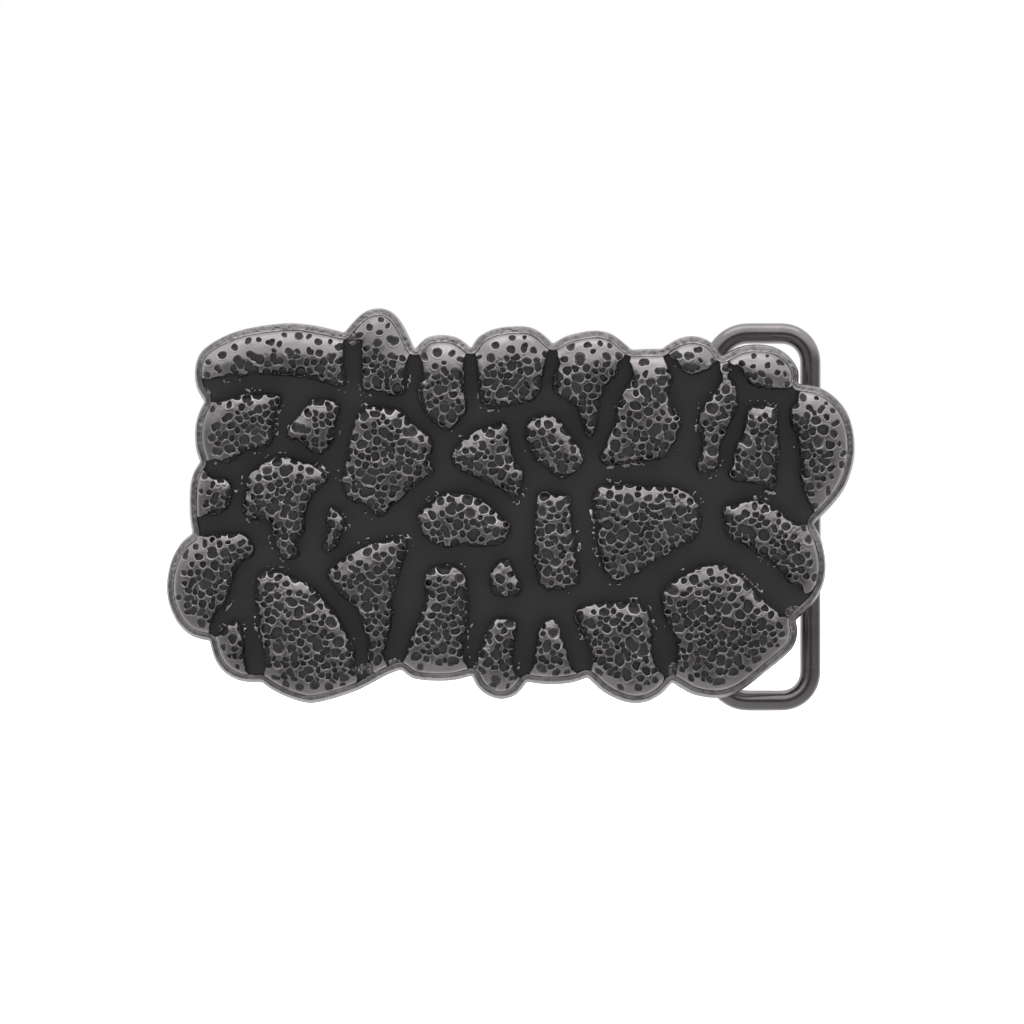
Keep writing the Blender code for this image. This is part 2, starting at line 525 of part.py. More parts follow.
def largest_patch(triangles):
    """The triangles of the patch with most of them, patches being joined through shared edges."""
    by_edge = {}
    for number, triangle in enumerate(triangles):
        for a, b in zip(triangle, triangle[1:] + triangle[:1]):
            by_edge.setdefault(frozenset((a, b)), []).append(number)
    best = set()
    unseen = set(range(len(triangles)))
    while unseen:
        patch = {unseen.pop()}
        front = list(patch)
        while front:
            triangle = triangles[front.pop()]
            for a, b in zip(triangle, triangle[1:] + triangle[:1]):
                fresh = [n for n in by_edge[frozenset((a, b))] if n in unseen]
                unseen.difference_update(fresh)
                patch.update(fresh)
                front += fresh
        best = max(best, patch, key=len)
    return [triangles[number] for number in best]


def black_enamel(outline, look):
    """The fill: a sheet as wide as the channel, open where each stone stands."""
    rim = inset(outline, EDGE_DRAFT + EDGE_ROUND + FLANGE_WIDTH + CHANNEL_DRAFT + ENAMEL_GAP)
    wells = [inset(list(foot), -ENAMEL_GAP) for foot in STONES]
    corners, triangles = fill_triangles(rim, wells)
    triangles = largest_patch(triangles)
    bm = bmesh.new()
    used = sorted({corner for triangle in triangles for corner in triangle})
    front, back = (
        {i: bm.verts.new(place(corners[i].x, bow(corners[i].x) + depth, corners[i].y)) for i in used}
        for depth in (ENAMEL_SUNK, CHANNEL_DEPTH - ENAMEL_GAP)
    )
    sides = {(a, b) for triangle in triangles for a, b in zip(triangle, triangle[1:] + triangle[:1])}
    for a, b, c in triangles:
        bm.faces.new((front[a], front[b], front[c]))
        bm.faces.new((back[c], back[b], back[a]))
    for a, b in sides:
        if (b, a) not in sides:
            bm.faces.new((front[b], front[a], back[a], back[b]))
    new_object("black_enamel", bm, look)


def strap_profile():
    """The strap's section across the hinge: a flat tab that rolls round the wire."""
    inner = WIRE_RADIUS + BORE_CLEARANCE
    outer = inner + STRAP_SHEET
    face = BOSS_FACE + FIT_GAP
    axis = face + outer
    turns = [math.radians(a) for a in range(0, STRAP_WRAP_DEGREES + 1, STRAP_WRAP_STEP)]
    roll = [(HINGE_X + outer * math.sin(a), axis - outer * math.cos(a)) for a in turns]
    bore = [(HINGE_X + inner * math.sin(a), axis - inner * math.cos(a)) for a in reversed(turns)]
    return [(STRAP_TAB_X, face), *roll, *bore, (STRAP_TAB_X, face + STRAP_SHEET)]


def hinge_depth():
    return BOSS_FACE + FIT_GAP + WIRE_RADIUS + BORE_CLEARANCE + STRAP_SHEET


def hinge_strap(look):
    bm = bmesh.new()
    profile = strap_profile()
    loft(bm, [[(x, depth, z) for x, depth in profile] for z in (-STRAP_HALF_LENGTH, STRAP_HALF_LENGTH)])
    strap = new_object("hinge_strap", bm, look)
    depths = (BOSS_FACE - DRILL_OVERRUN, BOSS_FACE + STRAP_SHEET + DRILL_OVERRUN)
    for side, center in rivet_centers():
        drill(strap, f"hole_strap_{side}", center, RIVET_SHANK_RADIUS + FIT_GAP, depths, look)


def hinge_rivets(look):
    """Each a shank through the strap into its seat, under a domed head."""
    tip = BOSS_FACE - HOLE_DEPTH + FIT_GAP
    under = BOSS_FACE + STRAP_SHEET + 2 * FIT_GAP
    dome_foot = under + RIVET_HEAD_EDGE
    steps = [math.radians(a) for a in RIVET_DOME_DEGREES]
    dome = [(RIVET_HEAD_RADIUS * math.cos(a), dome_foot + RIVET_HEAD_HEIGHT * math.sin(a)) for a in steps]
    profile = [(RIVET_SHANK_RADIUS, tip), (RIVET_SHANK_RADIUS, under), (RIVET_HEAD_RADIUS, under), *dome]
    for side, center in rivet_centers():
        turned(f"hinge_rivet_{side}", center, profile, 20, look).data.shade_smooth()


def bent_wire(name, points, radius, sides_setting, look):
    """A round wire along the points, which are (x, depth, z, share of the radius)."""
    curve = bpy.data.curves.new(name, "CURVE")
    curve.dimensions = "3D"
    curve.bevel_depth = radius * MM
    curve.bevel_resolution = sides_setting
    curve.use_fill_caps = True
    spline = curve.splines.new("POLY")
    spline.points.add(len(points) - 1)
    for target, (x, depth, z, share) in zip(spline.points, points):
        target.co = (*place(x, depth, z), 1.0)
        target.radius = share
    curve.materials.append(look)
    made = bpy.data.objects.new(name, curve)
    bpy.context.scene.collection.objects.link(made)
    return made


def bend(center, radius, start, end):
    """Points along an arc, by degrees from +X towards +Z."""
    turns = [math.radians(start + (end - start) * i / BEND_STEPS) for i in range(BEND_STEPS + 1)]
    return [(center[0] + radius * math.cos(a), center[1] + radius * math.sin(a)) for a in turns]


def belt_loop(look):
    """A wire from one hinge pin, out along the arms and the bar, back to the other pin."""
    pin_root_z = LOOP_ARM_Z - LOOP_HINGE_BEND
    upper = [(HINGE_X, LOOP_PIN_TIP_Z), (HINGE_X, 0.5 * (LOOP_PIN_TIP_Z + pin_root_z))]
    upper += bend((HINGE_X + LOOP_HINGE_BEND, pin_root_z), LOOP_HINGE_BEND, 180, 90)
    upper += bend((LOOP_BAR_X - LOOP_CORNER, LOOP_ARM_Z - LOOP_CORNER), LOOP_CORNER, 90, 0)
    path = upper + [(x, -z) for x, z in reversed(upper)]
    wire = bent_wire("belt_loop", [(x, hinge_depth(), z, 1.0) for x, z in path], WIRE_RADIUS, 4, look)
    axis = place(HINGE_X, hinge_depth(), 0)
    for point in wire.data.splines[0].points:
        point.co = (*(point.co.to_3d() - axis), 1.0)
    wire.location = axis


def hook(look):
    """A round base, and a pin whose nose turns towards the buckle's near end."""
    seat = BOSS_FACE + FIT_GAP
    top = seat + HOOK_BASE_THICKNESS
    base = turned("hook_base", (HOOK_X, 0.0), [
        (HOOK_BASE_RADIUS, seat),
        (HOOK_BASE_RADIUS, top - HOOK_BASE_BEVEL),
        (HOOK_BASE_RADIUS - HOOK_BASE_BEVEL, top),
    ], 28, look)
    depths = (seat - DRILL_OVERRUN, top + DRILL_OVERRUN)
    drill(base, "hole_base", (HOOK_X, 0.0), HOOK_RADIUS + FIT_GAP, depths, look)
    nose = top + HOOK_GAP + HOOK_RADIUS
    turn = bend((HOOK_X - HOOK_BEND, nose - HOOK_BEND), HOOK_BEND, 0, 90)
    tip = HOOK_X - HOOK_BEND - HOOK_NOSE
    path = [(HOOK_X, BOSS_FACE - HOLE_DEPTH + FIT_GAP, 0.0, 1.0), (HOOK_X, 0.5 * (top + nose), 0.0, 1.0)]
    path += [(x, depth, 0.0, 1.0) for x, depth in turn]
    path += [(tip + back, nose, 0.0, share) for back, share in HOOK_ROUNDING]
    bent_wire("hook_pin", path, HOOK_RADIUS, 5, look)


def main():
    clear_scene()
    cast = material("gunmetal_casting", GUNMETAL, 1.0, 0.38)
    enamel = material("black_enamel", BLACK_ENAMEL, 0.0, 0.6)
    wire = material("gunmetal_wire", STEEL, 1.0, 0.25)
    steel = material("gunmetal_strap", STEEL, 1.0, 0.35)
    outline = plate_outline()
    face_casting(outline, cast)
    black_enamel(outline, enamel)
    hinge_strap(steel)
    hinge_rivets(steel)
    belt_loop(wire)
    hook(wire)


main()
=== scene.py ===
"""The looks of the belt buckle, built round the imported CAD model.

The casting's stones are height fields with pits, the flange is swept round the plate's own edge,
and the hardware on the back is swept and turned with rounded edges. Outlines are cut from the CAD
casting, so every piece sits where the CAD has it. Lengths are in millimetres unless a name says
otherwise. "Height" is measured forward from the flange's face, so a depth is a negative height.
"""

import math

import bmesh
import bpy
import numpy as np
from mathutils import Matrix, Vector
from mathutils.geometry import delaunay_2d_cdt


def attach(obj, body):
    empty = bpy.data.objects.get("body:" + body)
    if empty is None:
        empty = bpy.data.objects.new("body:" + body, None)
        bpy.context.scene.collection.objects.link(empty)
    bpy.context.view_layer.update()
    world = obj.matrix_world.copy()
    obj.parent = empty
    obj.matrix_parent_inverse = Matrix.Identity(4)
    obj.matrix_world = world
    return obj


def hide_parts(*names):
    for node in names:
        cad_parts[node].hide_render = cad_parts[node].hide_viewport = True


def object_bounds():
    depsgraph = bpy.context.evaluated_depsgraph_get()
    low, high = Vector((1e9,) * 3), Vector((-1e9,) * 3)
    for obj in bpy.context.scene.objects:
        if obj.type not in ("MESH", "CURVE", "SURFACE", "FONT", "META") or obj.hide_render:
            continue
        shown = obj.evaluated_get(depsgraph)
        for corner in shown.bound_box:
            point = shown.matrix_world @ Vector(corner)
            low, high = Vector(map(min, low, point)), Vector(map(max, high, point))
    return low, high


MM = 0.001

# The plate, as in the CAD model.
BOW_RADIUS = 300.0
FLANGE_FACE_Y = -2.1
PLATE_THICKNESS = 2.3
RECESS_DEPTH = 1.6
CHANNEL_DEPTH = 0.6
ENAMEL_SUNK = 0.12
BACK_LIP = 1.6
EDGE_DRAFT = 0.25

# Where the CAD casting is cut to read its outlines.
STONE_CUT_HEIGHT = 0.12
STONE_CUT_INSET = 0.03
EDGE_CUT_HEIGHT = -2.2
SHARP_NOTCH_DEGREES = 32.0
EDGE_LEAST_GAP = 0.3
EDGE_SPACING = 0.1
STONE_LEAST_GAP = 0.25
STONE_SPACING = 0.3
ROW_HEIGHT = 6

# The swept rim of the plate.
RIM_STEP = 0.16
RIM_TURN_REACH = 0.9
RIM_INNER = 1.35
RIM_FARTHEST = 2.4
BACK_INNER = BACK_LIP + 0.22
DRAFT_LEAN = 0.11
FLANGE_FALL = 0.22
FLANGE_CORNER = 0.14
CORNER_DROP = 0.12
LINE_WIDTH = 0.06
RIDGE_LINE = 0.84
RIDGE_HEIGHT = 0.05
CREASE_LINE = 0.94
CREASE_DEPTH = 0.03
CHANNEL_LINE = 1.02
FLANGE_GRAIN = 0.075
# (inset from the edge, height) from the back's recess over its lip to the foot of the edge's draft.
BACK_PROFILE = (
    (BACK_INNER, -RECESS_DEPTH), (BACK_LIP + 0.1, -RECESS_DEPTH - 0.06),
    (BACK_LIP + 0.02, -RECESS_DEPTH - 0.2), (BACK_LIP - 0.03, -PLATE_THICKNESS + 0.14),
    (BACK_LIP - 0.16, -PLATE_THICKNESS + 0.02), (1.1, -PLATE_THICKNESS), (0.5, -PLATE_THICKNESS),
    (0.2, -PLATE_THICKNESS), (0.07, -PLATE_THICKNESS + 0.06), (0.01, -PLATE_THICKNESS + 0.2), (0.0, -1.9),
)
# (share of the draft, height) from there up to the flange's corner.
DRAFT_PROFILE = ((0.3, -1.5), (0.6, -1.1), (0.85, -0.78), (0.97, -FLANGE_FALL - 0.2))
FLOOR_SPACING = 1.6
ENAMEL_SPACING = 0.55
# Where the flange's casting is rough: x, z and radius.
GRAIN_SPOTS = (
    (-37.0, 2.0, 3.2), (-39.6, -8.5, 4.2), (-36.4, 10.0, 2.2), (-15.8, -18.6, 2.8), (-11.5, -18.0, 1.2),
    (32.9, -13.7, 2.0), (24.5, -20.0, 3.4), (39.4, 3.0, 3.4), (-33.0, 20.9, 2.0), (0.0, 21.8, 1.4),
    (13.0, -21.0, 2.0), (-24.0, -21.2, 2.6),
)

# The stones.
STONE_GRID = 0.075
STONE_SKIRT = 1.0
FIELD_EDGE = 0.6
STONE_BASE = -0.85
STONE_ROOT = -0.36
STONE_GROWTH = 0.32
STONE_FLANK = 1.25
FLANK_WIDTH = 0.22
STONE_DOME = 1.3
DOME_REACH = 3.9
DOME_BLUR = 0.3
RIM_PULL = 0.8
RIM_REACH = 5.0
STONE_SWELL = 0.13
EDGE_WANDER = 0.15
FIELD_FLOOR = -0.3
FIELD_LOWEST = -0.5
BARE_HEIGHT = -0.14
FLECK_REACH = 0.72

# The pits. Those near the plate's edge are few, and a twin is a second pit that runs into the first.
PIT_TRIES = 90
PIT_RADIUS = 0.34
PIT_RADIUS_RANGE = 0.4
PIT_DEPTH = 0.26
PIT_DEPTH_RANGE = 0.2
PIT_ROOM = 1.04
CROWDED_SHARE = 0.3
CROWDED_ROOM = 0.78
TWIN_SHARE = 0.34
TWIN_SHIFT = 0.8
TWIN_SIZE = 0.85
EDGE_PIT_RADIUS = 0.32
EDGE_PIT_RADIUS_RANGE = 0.3
EDGE_PIT_DEPTH_RANGE = 0.12
EDGE_PIT_ROOM = 1.35
EDGE_PIT_INSET = 0.42
EDGE_PIT_SHARE = 0.78
PIT_WARP = 0.17
PIT_WALL = 0.4
PIT_RIM = 0.04
EDGE_BITE = 1.1

# Patches of bare casting beside the stones: x, z and half sizes.
ROUGH_SPOTS = (
    (-16.2, -17.5, 2.5, 0.9), (-13.4, -16.9, 1.0, 0.8), (18.9, -17.9, 0.8, 1.3), (33.0, -11.2, 1.3, 1.2),
    (-17.9, 20.9, 0.9, 1.2), (24.7, 17.5, 0.6, 1.0), (-3.6, -17.6, 0.7, 0.9), (-35.2, 14.3, 0.9, 0.8),
)

# The hardware on the back, as in the CAD model. Depths run along +Y from the flange's face.
WIRE_RADIUS = 1.2
WIRE_SPACING = 0.22
WIRE_TIP_ROUND = 0.35
HINGE_X = 23.8
LOOP_BAR_X = 35.04
LOOP_ARM_Z = 21.4
LOOP_CORNER = 3.3
LOOP_HINGE_BEND = 3.9
LOOP_PIN_TIP_Z = 6.0
STRAP_SHEET = 0.9
STRAP_HALF_LENGTH = 15.0
STRAP_TAB_X = 16.6
STRAP_WRAP_DEGREES = 300
BORE_CLEARANCE = 0.06
STRAP_EDGE = 0.25
STRAP_END_ROUND = 0.16
RIVET_X = 19.3
RIVET_Z = 9.5
RIVET_SHANK_RADIUS = 1.2
RIVET_HEAD_RADIUS = 2.1
RIVET_HEAD_HEIGHT = 0.88
SEAT_FACE = 4.0
SEAT_HALF_LENGTH = 4.5
SEAT_ROUND = 0.28
SEAT_DRAFT = 0.1
SEAT_SUNK = 0.4
FIT_GAP = 0.05
HIDDEN_DEPTH = 1.4
HINGE_DEPTH = SEAT_FACE + FIT_GAP + WIRE_RADIUS + BORE_CLEARANCE + STRAP_SHEET
PAD_FACE = 2.1
PAD_HALF_WIDTH = 9.0
PAD_HALF_HEIGHT = 5.0
HOOK_X = -28.0
HOOK_SEAT_RADIUS = 4.4
HOOK_RADIUS = 1.6
HOOK_SPACING = 0.15
HOOK_TIP_ROUND = 0.95
HOOK_GAP = 4.6
HOOK_BEND = 2.0
HOOK_REACH = 4.6
HOOK_BASE_RADIUS = 3.7
HOOK_BASE_THICKNESS = 1.0
HOOK_BASE_ROUND = 0.35
HOOK_FILLET = 0.55
QUARTER_TURN = np.radians((0, 22, 45, 68, 90))

# The photograph's view: its distance, the width it takes in, and its aim past the model's middle.
CAMERA_DISTANCE_MM = 600.0
FRAME_WIDTH_MM = 118.2
AIM_X_MM = 0.14
AIM_Z_MM = -0.22
SENSOR_MM = 36.0

# The studio: how bright the room is from straight below (0) to straight above (1), and its back wall.
ROOM_LIGHT = ((0.0, 0.5), (0.28, 0.42), (0.42, 0.3), (0.5, 0.22), (0.58, 0.42), (0.7, 0.92), (1.0, 1.1))
BACK_WALL = (1.05, 1.05, 1.05, 1)


# ---- numbers


def smoothstep(low, high, value):
    t = np.clip((value - low) / (high - low), 0.0, 1.0)
    return t * t * (3 - 2 * t)


def noise(x, z, wavelength, seed):
    """Smooth value noise from -1 to 1 over the plane."""
    size = 97
    lattice = np.random.default_rng(seed).uniform(-1.0, 1.0, (size, size))
    u = np.asarray(x, float) / wavelength + 31.4
    v = np.asarray(z, float) / wavelength + 27.1
    i, j = np.floor(u).astype(int), np.floor(v).astype(int)
    a, b = u - i, v - j
    a, b = a * a * (3 - 2 * a), b * b * (3 - 2 * b)
    i0, i1, j0, j1 = i % size, (i + 1) % size, j % size, (j + 1) % size
    low = lattice[i0, j0] * (1 - a) + lattice[i1, j0] * a
    high = lattice[i0, j1] * (1 - a) + lattice[i1, j1] * a
    return low * (1 - b) + high * b


def blur(field, sigma):
    """A Gaussian blur of a 2-D field, sigma in cells."""
    reach = int(3 * sigma) + 1
    kernel = np.exp(-0.5 * (np.arange(-reach, reach + 1) / sigma) ** 2)
    kernel /= kernel.sum()
    padded = np.pad(field, reach, mode="edge")
    rows = np.apply_along_axis(np.convolve, 1, padded, kernel, mode="valid")
    return np.apply_along_axis(np.convolve, 0, rows, kernel, mode="valid")


def signed_distance(x, z, loop):
    """Distance to a closed loop of points, positive inside it."""
    flat_x, flat_z = np.ravel(x), np.ravel(z)
    a, b = loop, np.roll(loop, -1, axis=0)
    along = b - a
    length2 = np.maximum((along ** 2).sum(1), 1e-12)
    out = np.empty(flat_x.size)
    chunk = max(1, 3_000_000 // len(loop))
    for start in range(0, flat_x.size, chunk):
        px = flat_x[start:start + chunk, None]
        pz = flat_z[start:start + chunk, None]
        dx, dz = px - a[:, 0], pz - a[:, 1]
        t = np.clip((dx * along[:, 0] + dz * along[:, 1]) / length2, 0.0, 1.0)
        gap2 = (dx - t * along[:, 0]) ** 2 + (dz - t * along[:, 1]) ** 2
        crosses = (a[:, 1] > pz) != (b[:, 1] > pz)
        rise = np.where(along[:, 1] == 0, 1e-12, along[:, 1])
        at = a[:, 0] + along[:, 0] * (pz - a[:, 1]) / rise
        inside = (crosses & (px < at)).sum(1) % 2 == 1
        out[start:start + chunk] = np.sqrt(gap2.min(1)) * np.where(inside, 1.0, -1.0)
    return out.reshape(np.shape(x))


def area_of(loop):
    nxt = np.roll(loop, -1, axis=0)
    return 0.5 * float((loop[:, 0] * nxt[:, 1] - nxt[:, 0] * loop[:, 1]).sum())


def chords(loop):
    """The vector from each point's neighbour before it to the one after it."""
    return np.roll(loop, -1, axis=0) - np.roll(loop, 1, axis=0)


def unit(vectors):
    return vectors / np.linalg.norm(vectors, axis=1)[:, None]


def left_of(vectors):
    return np.stack([-vectors[:, 1], vectors[:, 0]], axis=1)


def evened(loop, times=1):
    """A closed loop of values, each drawn toward its two neighbours."""
    for _ in range(times):
        loop = 0.5 * loop + 0.25 * (np.roll(loop, 1, axis=0) + np.roll(loop, -1, axis=0))
    return loop


def catmull(points, closed, spacing):
    """A smooth curve through the points at about the given spacing."""
    if closed:
        points = np.vstack([points[-1:], points, points[:2]])
    else:
        points = np.vstack([2 * points[:1] - points[1:2], points, 2 * points[-1:] - points[-2:-1]])
    curve = []
    for k in range(len(points) - 3):
        p = points[k:k + 4]
        steps = max(1, int(round(np.linalg.norm(p[2] - p[1]) / spacing)))
        for step in range(steps):
            t = step / steps
            curve.append(0.5 * (2 * p[1] + (p[2] - p[0]) * t
                                + (2 * p[0] - 5 * p[1] + 4 * p[2] - p[3]) * t ** 2
                                + (3 * p[1] - p[0] - 3 * p[2] + p[3]) * t ** 3))
    if not closed:
        curve.append(points[-2])
    return np.array(curve)


def place(x, height, z):
    """Points in metres from arrays in millimetres, following the plate's bow."""
    x, height, z = np.broadcast_arrays(x, height, z)
    y = FLANGE_FACE_Y - height + x ** 2 / (2 * BOW_RADIUS)
    return np.stack([x, y, z], axis=-1).reshape(-1, 3) * MM


def place_flat(x, depth, z):
    """Points in metres, on the straight hardware behind the plate."""
    x, depth, z = np.broadcast_arrays(x, depth, z)
    return np.stack([x, FLANGE_FACE_Y + depth, z], axis=-1).reshape(-1, 3) * MM


# ---- meshes


def mesh_object(name, points, faces, look, values=None):
    mesh = bpy.data.meshes.new(name)
    mesh.from_pydata(np.asarray(points).tolist(), [], faces)
    mesh.polygons.foreach_set("use_smooth", [True] * len(mesh.polygons))
    for key, value in (values or {}).items():
        mesh.attributes.new(key, "FLOAT", "POINT").data.foreach_set("value", np.asarray(value, np.float32))
    mesh.materials.append(look)
    mesh.update()
    made = bpy.data.objects.new(name, mesh)
    bpy.context.scene.collection.objects.link(made)
    return made


def outward(made):
    """Turns every face outward, on a mesh whose shells are closed."""
    bm = bmesh.new()
    bm.from_mesh(made.data)
    bmesh.ops.recalc_face_normals(bm, faces=bm.faces)
    bm.to_mesh(made.data)
    bm.free()
    return made


def swept_rings(rings, closed=True):
    """(points, faces) of a shell through rings with the same number of points."""
    count = len(rings[0])
    faces = []
    for a in range(0, (len(rings) - 1) * count, count):
        for i in range(count):
            j = (i + 1) % count
            faces.append((a + i, a + j, a + count + j, a + count + i))
    if closed:
        last = (len(rings) - 1) * count
        faces.append(tuple(reversed(range(count))))
        faces.append(tuple(range(last, last + count)))
    return np.concatenate(rings), faces


def ride_as(made, body, slot, *nodes):
    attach(made, body)
    if nodes:
        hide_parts(*nodes)
    return made


def hardware(name, shell, look, body, slot, node):
    """A piece that takes a CAD node's place, from the points and faces of a closed shell."""
    points, faces = shell
    return ride_as(outward(mesh_object(name, points, faces, look)), body, slot, node)


# ---- outlines from the CAD casting


def cut_loops(node, height):
    """The closed outlines of a bowed node, cut at a height."""
    bm = bmesh.new()
    bm.from_mesh(node.data)
    bmesh.ops.remove_doubles(bm, verts=bm.verts, dist=1e-7)
    for vert in bm.verts:
        vert.co.y -= vert.co.x ** 2 / (2 * BOW_RADIUS * MM)
    plane = (0.0, (FLANGE_FACE_Y - height) * MM, 0.0)
    everything = bm.verts[:] + bm.edges[:] + bm.faces[:]
    cut = bmesh.ops.bisect_plane(bm, geom=everything, dist=1e-9, plane_co=plane, plane_no=(0.0, 1.0, 0.0))
    links = {}
    for edge in cut["geom_cut"]:
        if isinstance(edge, bmesh.types.BMEdge):
            for vert, other in (edge.verts, reversed(edge.verts)):
                links.setdefault(vert, []).append(other)
    loops, seen = [], set()
    for start in sorted(links, key=lambda v: (v.co.x, v.co.z)):
        if start in seen:
            continue
        loop, here, before = [], start, None
        while here is not None and here not in seen:
            seen.add(here)
            loop.append((here.co.x / MM, here.co.z / MM))
            onward = [v for v in links[here] if v is not before and v not in seen]
            before, here = here, onward[0] if onward else None
        if len(loop) > 5:
            loops.append(np.array(loop))
    bm.free()
    return [loop[::-1] if area_of(loop) < 0 else loop for loop in loops]


def thin(loop, least):
    """Drops points that crowd closer than the least distance."""
    kept = [loop[0]]
    for point in loop[1:]:
        if np.linalg.norm(point - kept[-1]) >= least:
            kept.append(point)
    if np.linalg.norm(kept[-1] - kept[0]) < least:
        kept.pop()
    return np.array(kept)


def turning(loop):
    """The signed turn at each point of a counter-clockwise loop, negative at a notch."""
    arriving = loop - np.roll(loop, 1, axis=0)
    leaving = np.roll(loop, -1, axis=0) - loop
    cross = arriving[:, 0] * leaving[:, 1] - arriving[:, 1] * leaving[:, 0]
    dot = (arriving * leaving).sum(1)
    return np.arctan2(cross, dot)


def edge_outline(casting):
    """The plate's edge: smooth lobes that meet in notches."""
    loop = max(cut_loops(casting, EDGE_CUT_HEIGHT), key=area_of)
    loop = thin(loop, EDGE_LEAST_GAP)
    notches = np.flatnonzero(turning(loop) < -math.radians(SHARP_NOTCH_DEGREES))
    lobes = []
    for a, b in zip(notches, np.roll(notches, -1)):
        span = [loop[i % len(loop)] for i in range(a, b + 1 if b > a else b + 1 + len(loop))]
        lobes.append(catmull(np.array(span), False, EDGE_SPACING)[:-1])
    return evened(np.concatenate(lobes) if lobes else catmull(loop, True, EDGE_SPACING), 5)


def stone_outlines(casting):
    """The stones' outlines, in rows from the top and from left to right."""
    loops = [thin(loop, STONE_LEAST_GAP) for loop in cut_loops(casting, STONE_CUT_HEIGHT)]
    loops.sort(key=lambda loop: (-round(loop[:, 1].mean() / ROW_HEIGHT), loop[:, 0].mean()))
    return [evened(catmull(loop, True, STONE_SPACING), 2) for loop in loops]


def even_stations(outline):
    """(stations round the edge, their inward directions, their room), closer together in the notches."""
    turn = turning(outline)
    step = np.linalg.norm(np.roll(outline, -1, axis=0) - outline, axis=1)
    weight = step + RIM_TURN_REACH * np.abs(0.5 * (turn + np.roll(turn, -1)))
    total = np.concatenate([[0.0], np.cumsum(weight)])
    count = int(total[-1] / RIM_STEP)
    wanted = np.linspace(0.0, total[-1], count, endpoint=False)
    closed = np.vstack([outline, outline[:1]])
    points = np.stack([np.interp(wanted, total, closed[:, k]) for k in (0, 1)], axis=1)
    inward = left_of(unit(evened(chords(points), 3)))
    return points, inward, room_inward(points, inward)


def room_inward(points, inward):
    """How far each station can move inward before its neighbours' ways cross its own."""
    ahead = chords(points)
    closing = -(ahead * chords(inward)).sum(1) / (ahead ** 2).sum(1)
    room = np.where(closing > 1e-6, 0.8 / np.maximum(closing, 1e-6), RIM_FARTHEST)
    room = np.minimum(room, RIM_FARTHEST)
    for _ in range(12):
        room = np.minimum(room, np.minimum(np.roll(room, 1), np.roll(room, -1)) + 0.05)
    return room


def inset_ring(rim, inset):
    """The rim's stations moved inward, evened out where there was no room to go all the way."""
    stations, inward, room = rim
    points = stations + inward * np.minimum(inset, room)[:, None]
    tight = room < inset
    loose = np.any([np.roll(tight, shift) for shift in range(-4, 5)], axis=0)
    for _ in range(12):
        points = np.where(loose[:, None], evened(points), points)
    return points


# ---- the stones


def scatter_pits(rng, x, z, depth_in, rim_gap, smooth_width, faces_down):
    """Rows of x, z, radius and depth: pits crowded over a stone, and fewer near the plate's edge."""
    area = float((depth_in > 0).sum()) * STONE_GRID ** 2
    low, high = np.array([x.min(), z.min()]), np.array([x.max(), z.max()])
    pits = np.empty((0, 4))
    for _ in range(int(PIT_TRIES * area) + 60):
        px, pz = rng.uniform(low, high)
        draw = rng.random(4)
        cell = int((px - low[0]) / STONE_GRID), int((pz - low[1]) / STONE_GRID)
        if depth_in[cell] < -0.1:
            continue
        if rim_gap[cell] < smooth_width * (0.85 + 0.3 * draw[3]):
            if depth_in[cell] < EDGE_PIT_INSET or draw[1] > EDGE_PIT_SHARE:
                continue
            radius = EDGE_PIT_RADIUS + EDGE_PIT_RADIUS_RANGE * draw[0]
            depth = PIT_DEPTH + EDGE_PIT_DEPTH_RANGE * draw[2]
            room = EDGE_PIT_ROOM
        else:
            radius = PIT_RADIUS + PIT_RADIUS_RANGE * draw[0] ** 1.2
            depth = PIT_DEPTH + PIT_DEPTH_RANGE * draw[2]
            room = PIT_ROOM if draw[1] > CROWDED_SHARE else CROWDED_ROOM
            room = room + 0.2 * (1 - faces_down[cell])
        gap = np.hypot(pits[:, 0] - px, pits[:, 1] - pz)
        if (gap < room * (pits[:, 2] + radius)).any():
            continue
        pits = np.vstack([pits, (px, pz, radius, depth)])
        if draw[3] < TWIN_SHARE:
            way = 2 * math.pi * draw[1] * 7.0
            px, pz = px + TWIN_SHIFT * radius * math.cos(way), pz + TWIN_SHIFT * radius * math.sin(way)
            pits = np.vstack([pits, (px, pz, radius * TWIN_SIZE, depth)])
    return pits


def carve(x, z, pits, seed):
    """(how deep the pits cut, how high their rims stand, which also sets a painted highlight on them, how
    far down the pits each point is).
    """
    wx = x + PIT_WARP * noise(x, z, 0.9, seed) + 0.4 * PIT_WARP * noise(x, z, 0.4, seed + 1)
    wz = z + PIT_WARP * noise(x, z, 0.9, seed + 2) + 0.4 * PIT_WARP * noise(x, z, 0.4, seed + 3)
    cut, rim, share = np.zeros_like(x), np.zeros_like(x), np.zeros_like(x)
    for px, pz, radius, depth in pits:
        reach = 1.5 * radius + 2 * PIT_WARP
        i0, i1 = np.searchsorted(x[:, 0], (px - reach, px + reach))
        j0, j1 = np.searchsorted(z[0], (pz - reach, pz + reach))
        if i0 >= i1 or j0 >= j1:
            continue
        here = (slice(i0, i1), slice(j0, j1))
        out = np.hypot(wx[here] - px, wz[here] - pz) / radius
        down = 1.0 - smoothstep(1.0 - PIT_WALL, 1.0, out)
        cut[here] = np.maximum(cut[here], depth * down)
        share[here] = np.maximum(share[here], down)
        # The ring is strongest on each pit's lower lip, which faces up toward the overhead light; where the
        # material reads it as colour, it is a painted highlight.
        lower = smoothstep(-0.7, 0.7, (pz - wz[here]) / radius)
        rim[here] = np.maximum(rim[here], np.exp(-(((out - 1.1) / 0.13) ** 2)) * (0.4 + 0.6 * lower))
    return cut, rim * (1 - share), share


def rounded(distance, reach):
    """A quarter round from 0 at no distance to 1 at the reach."""
    return np.sqrt(1 - (1 - np.clip(distance / reach, 0.0, 1.0)) ** 2)


def soft_least(a, b, width):
    """The lesser of two fields, blended where they cross."""
    share = np.clip(0.5 + 0.5 * (b - a) / width, 0.0, 1.0)
    return b * (1 - share) + a * share - width * share * (1 - share)


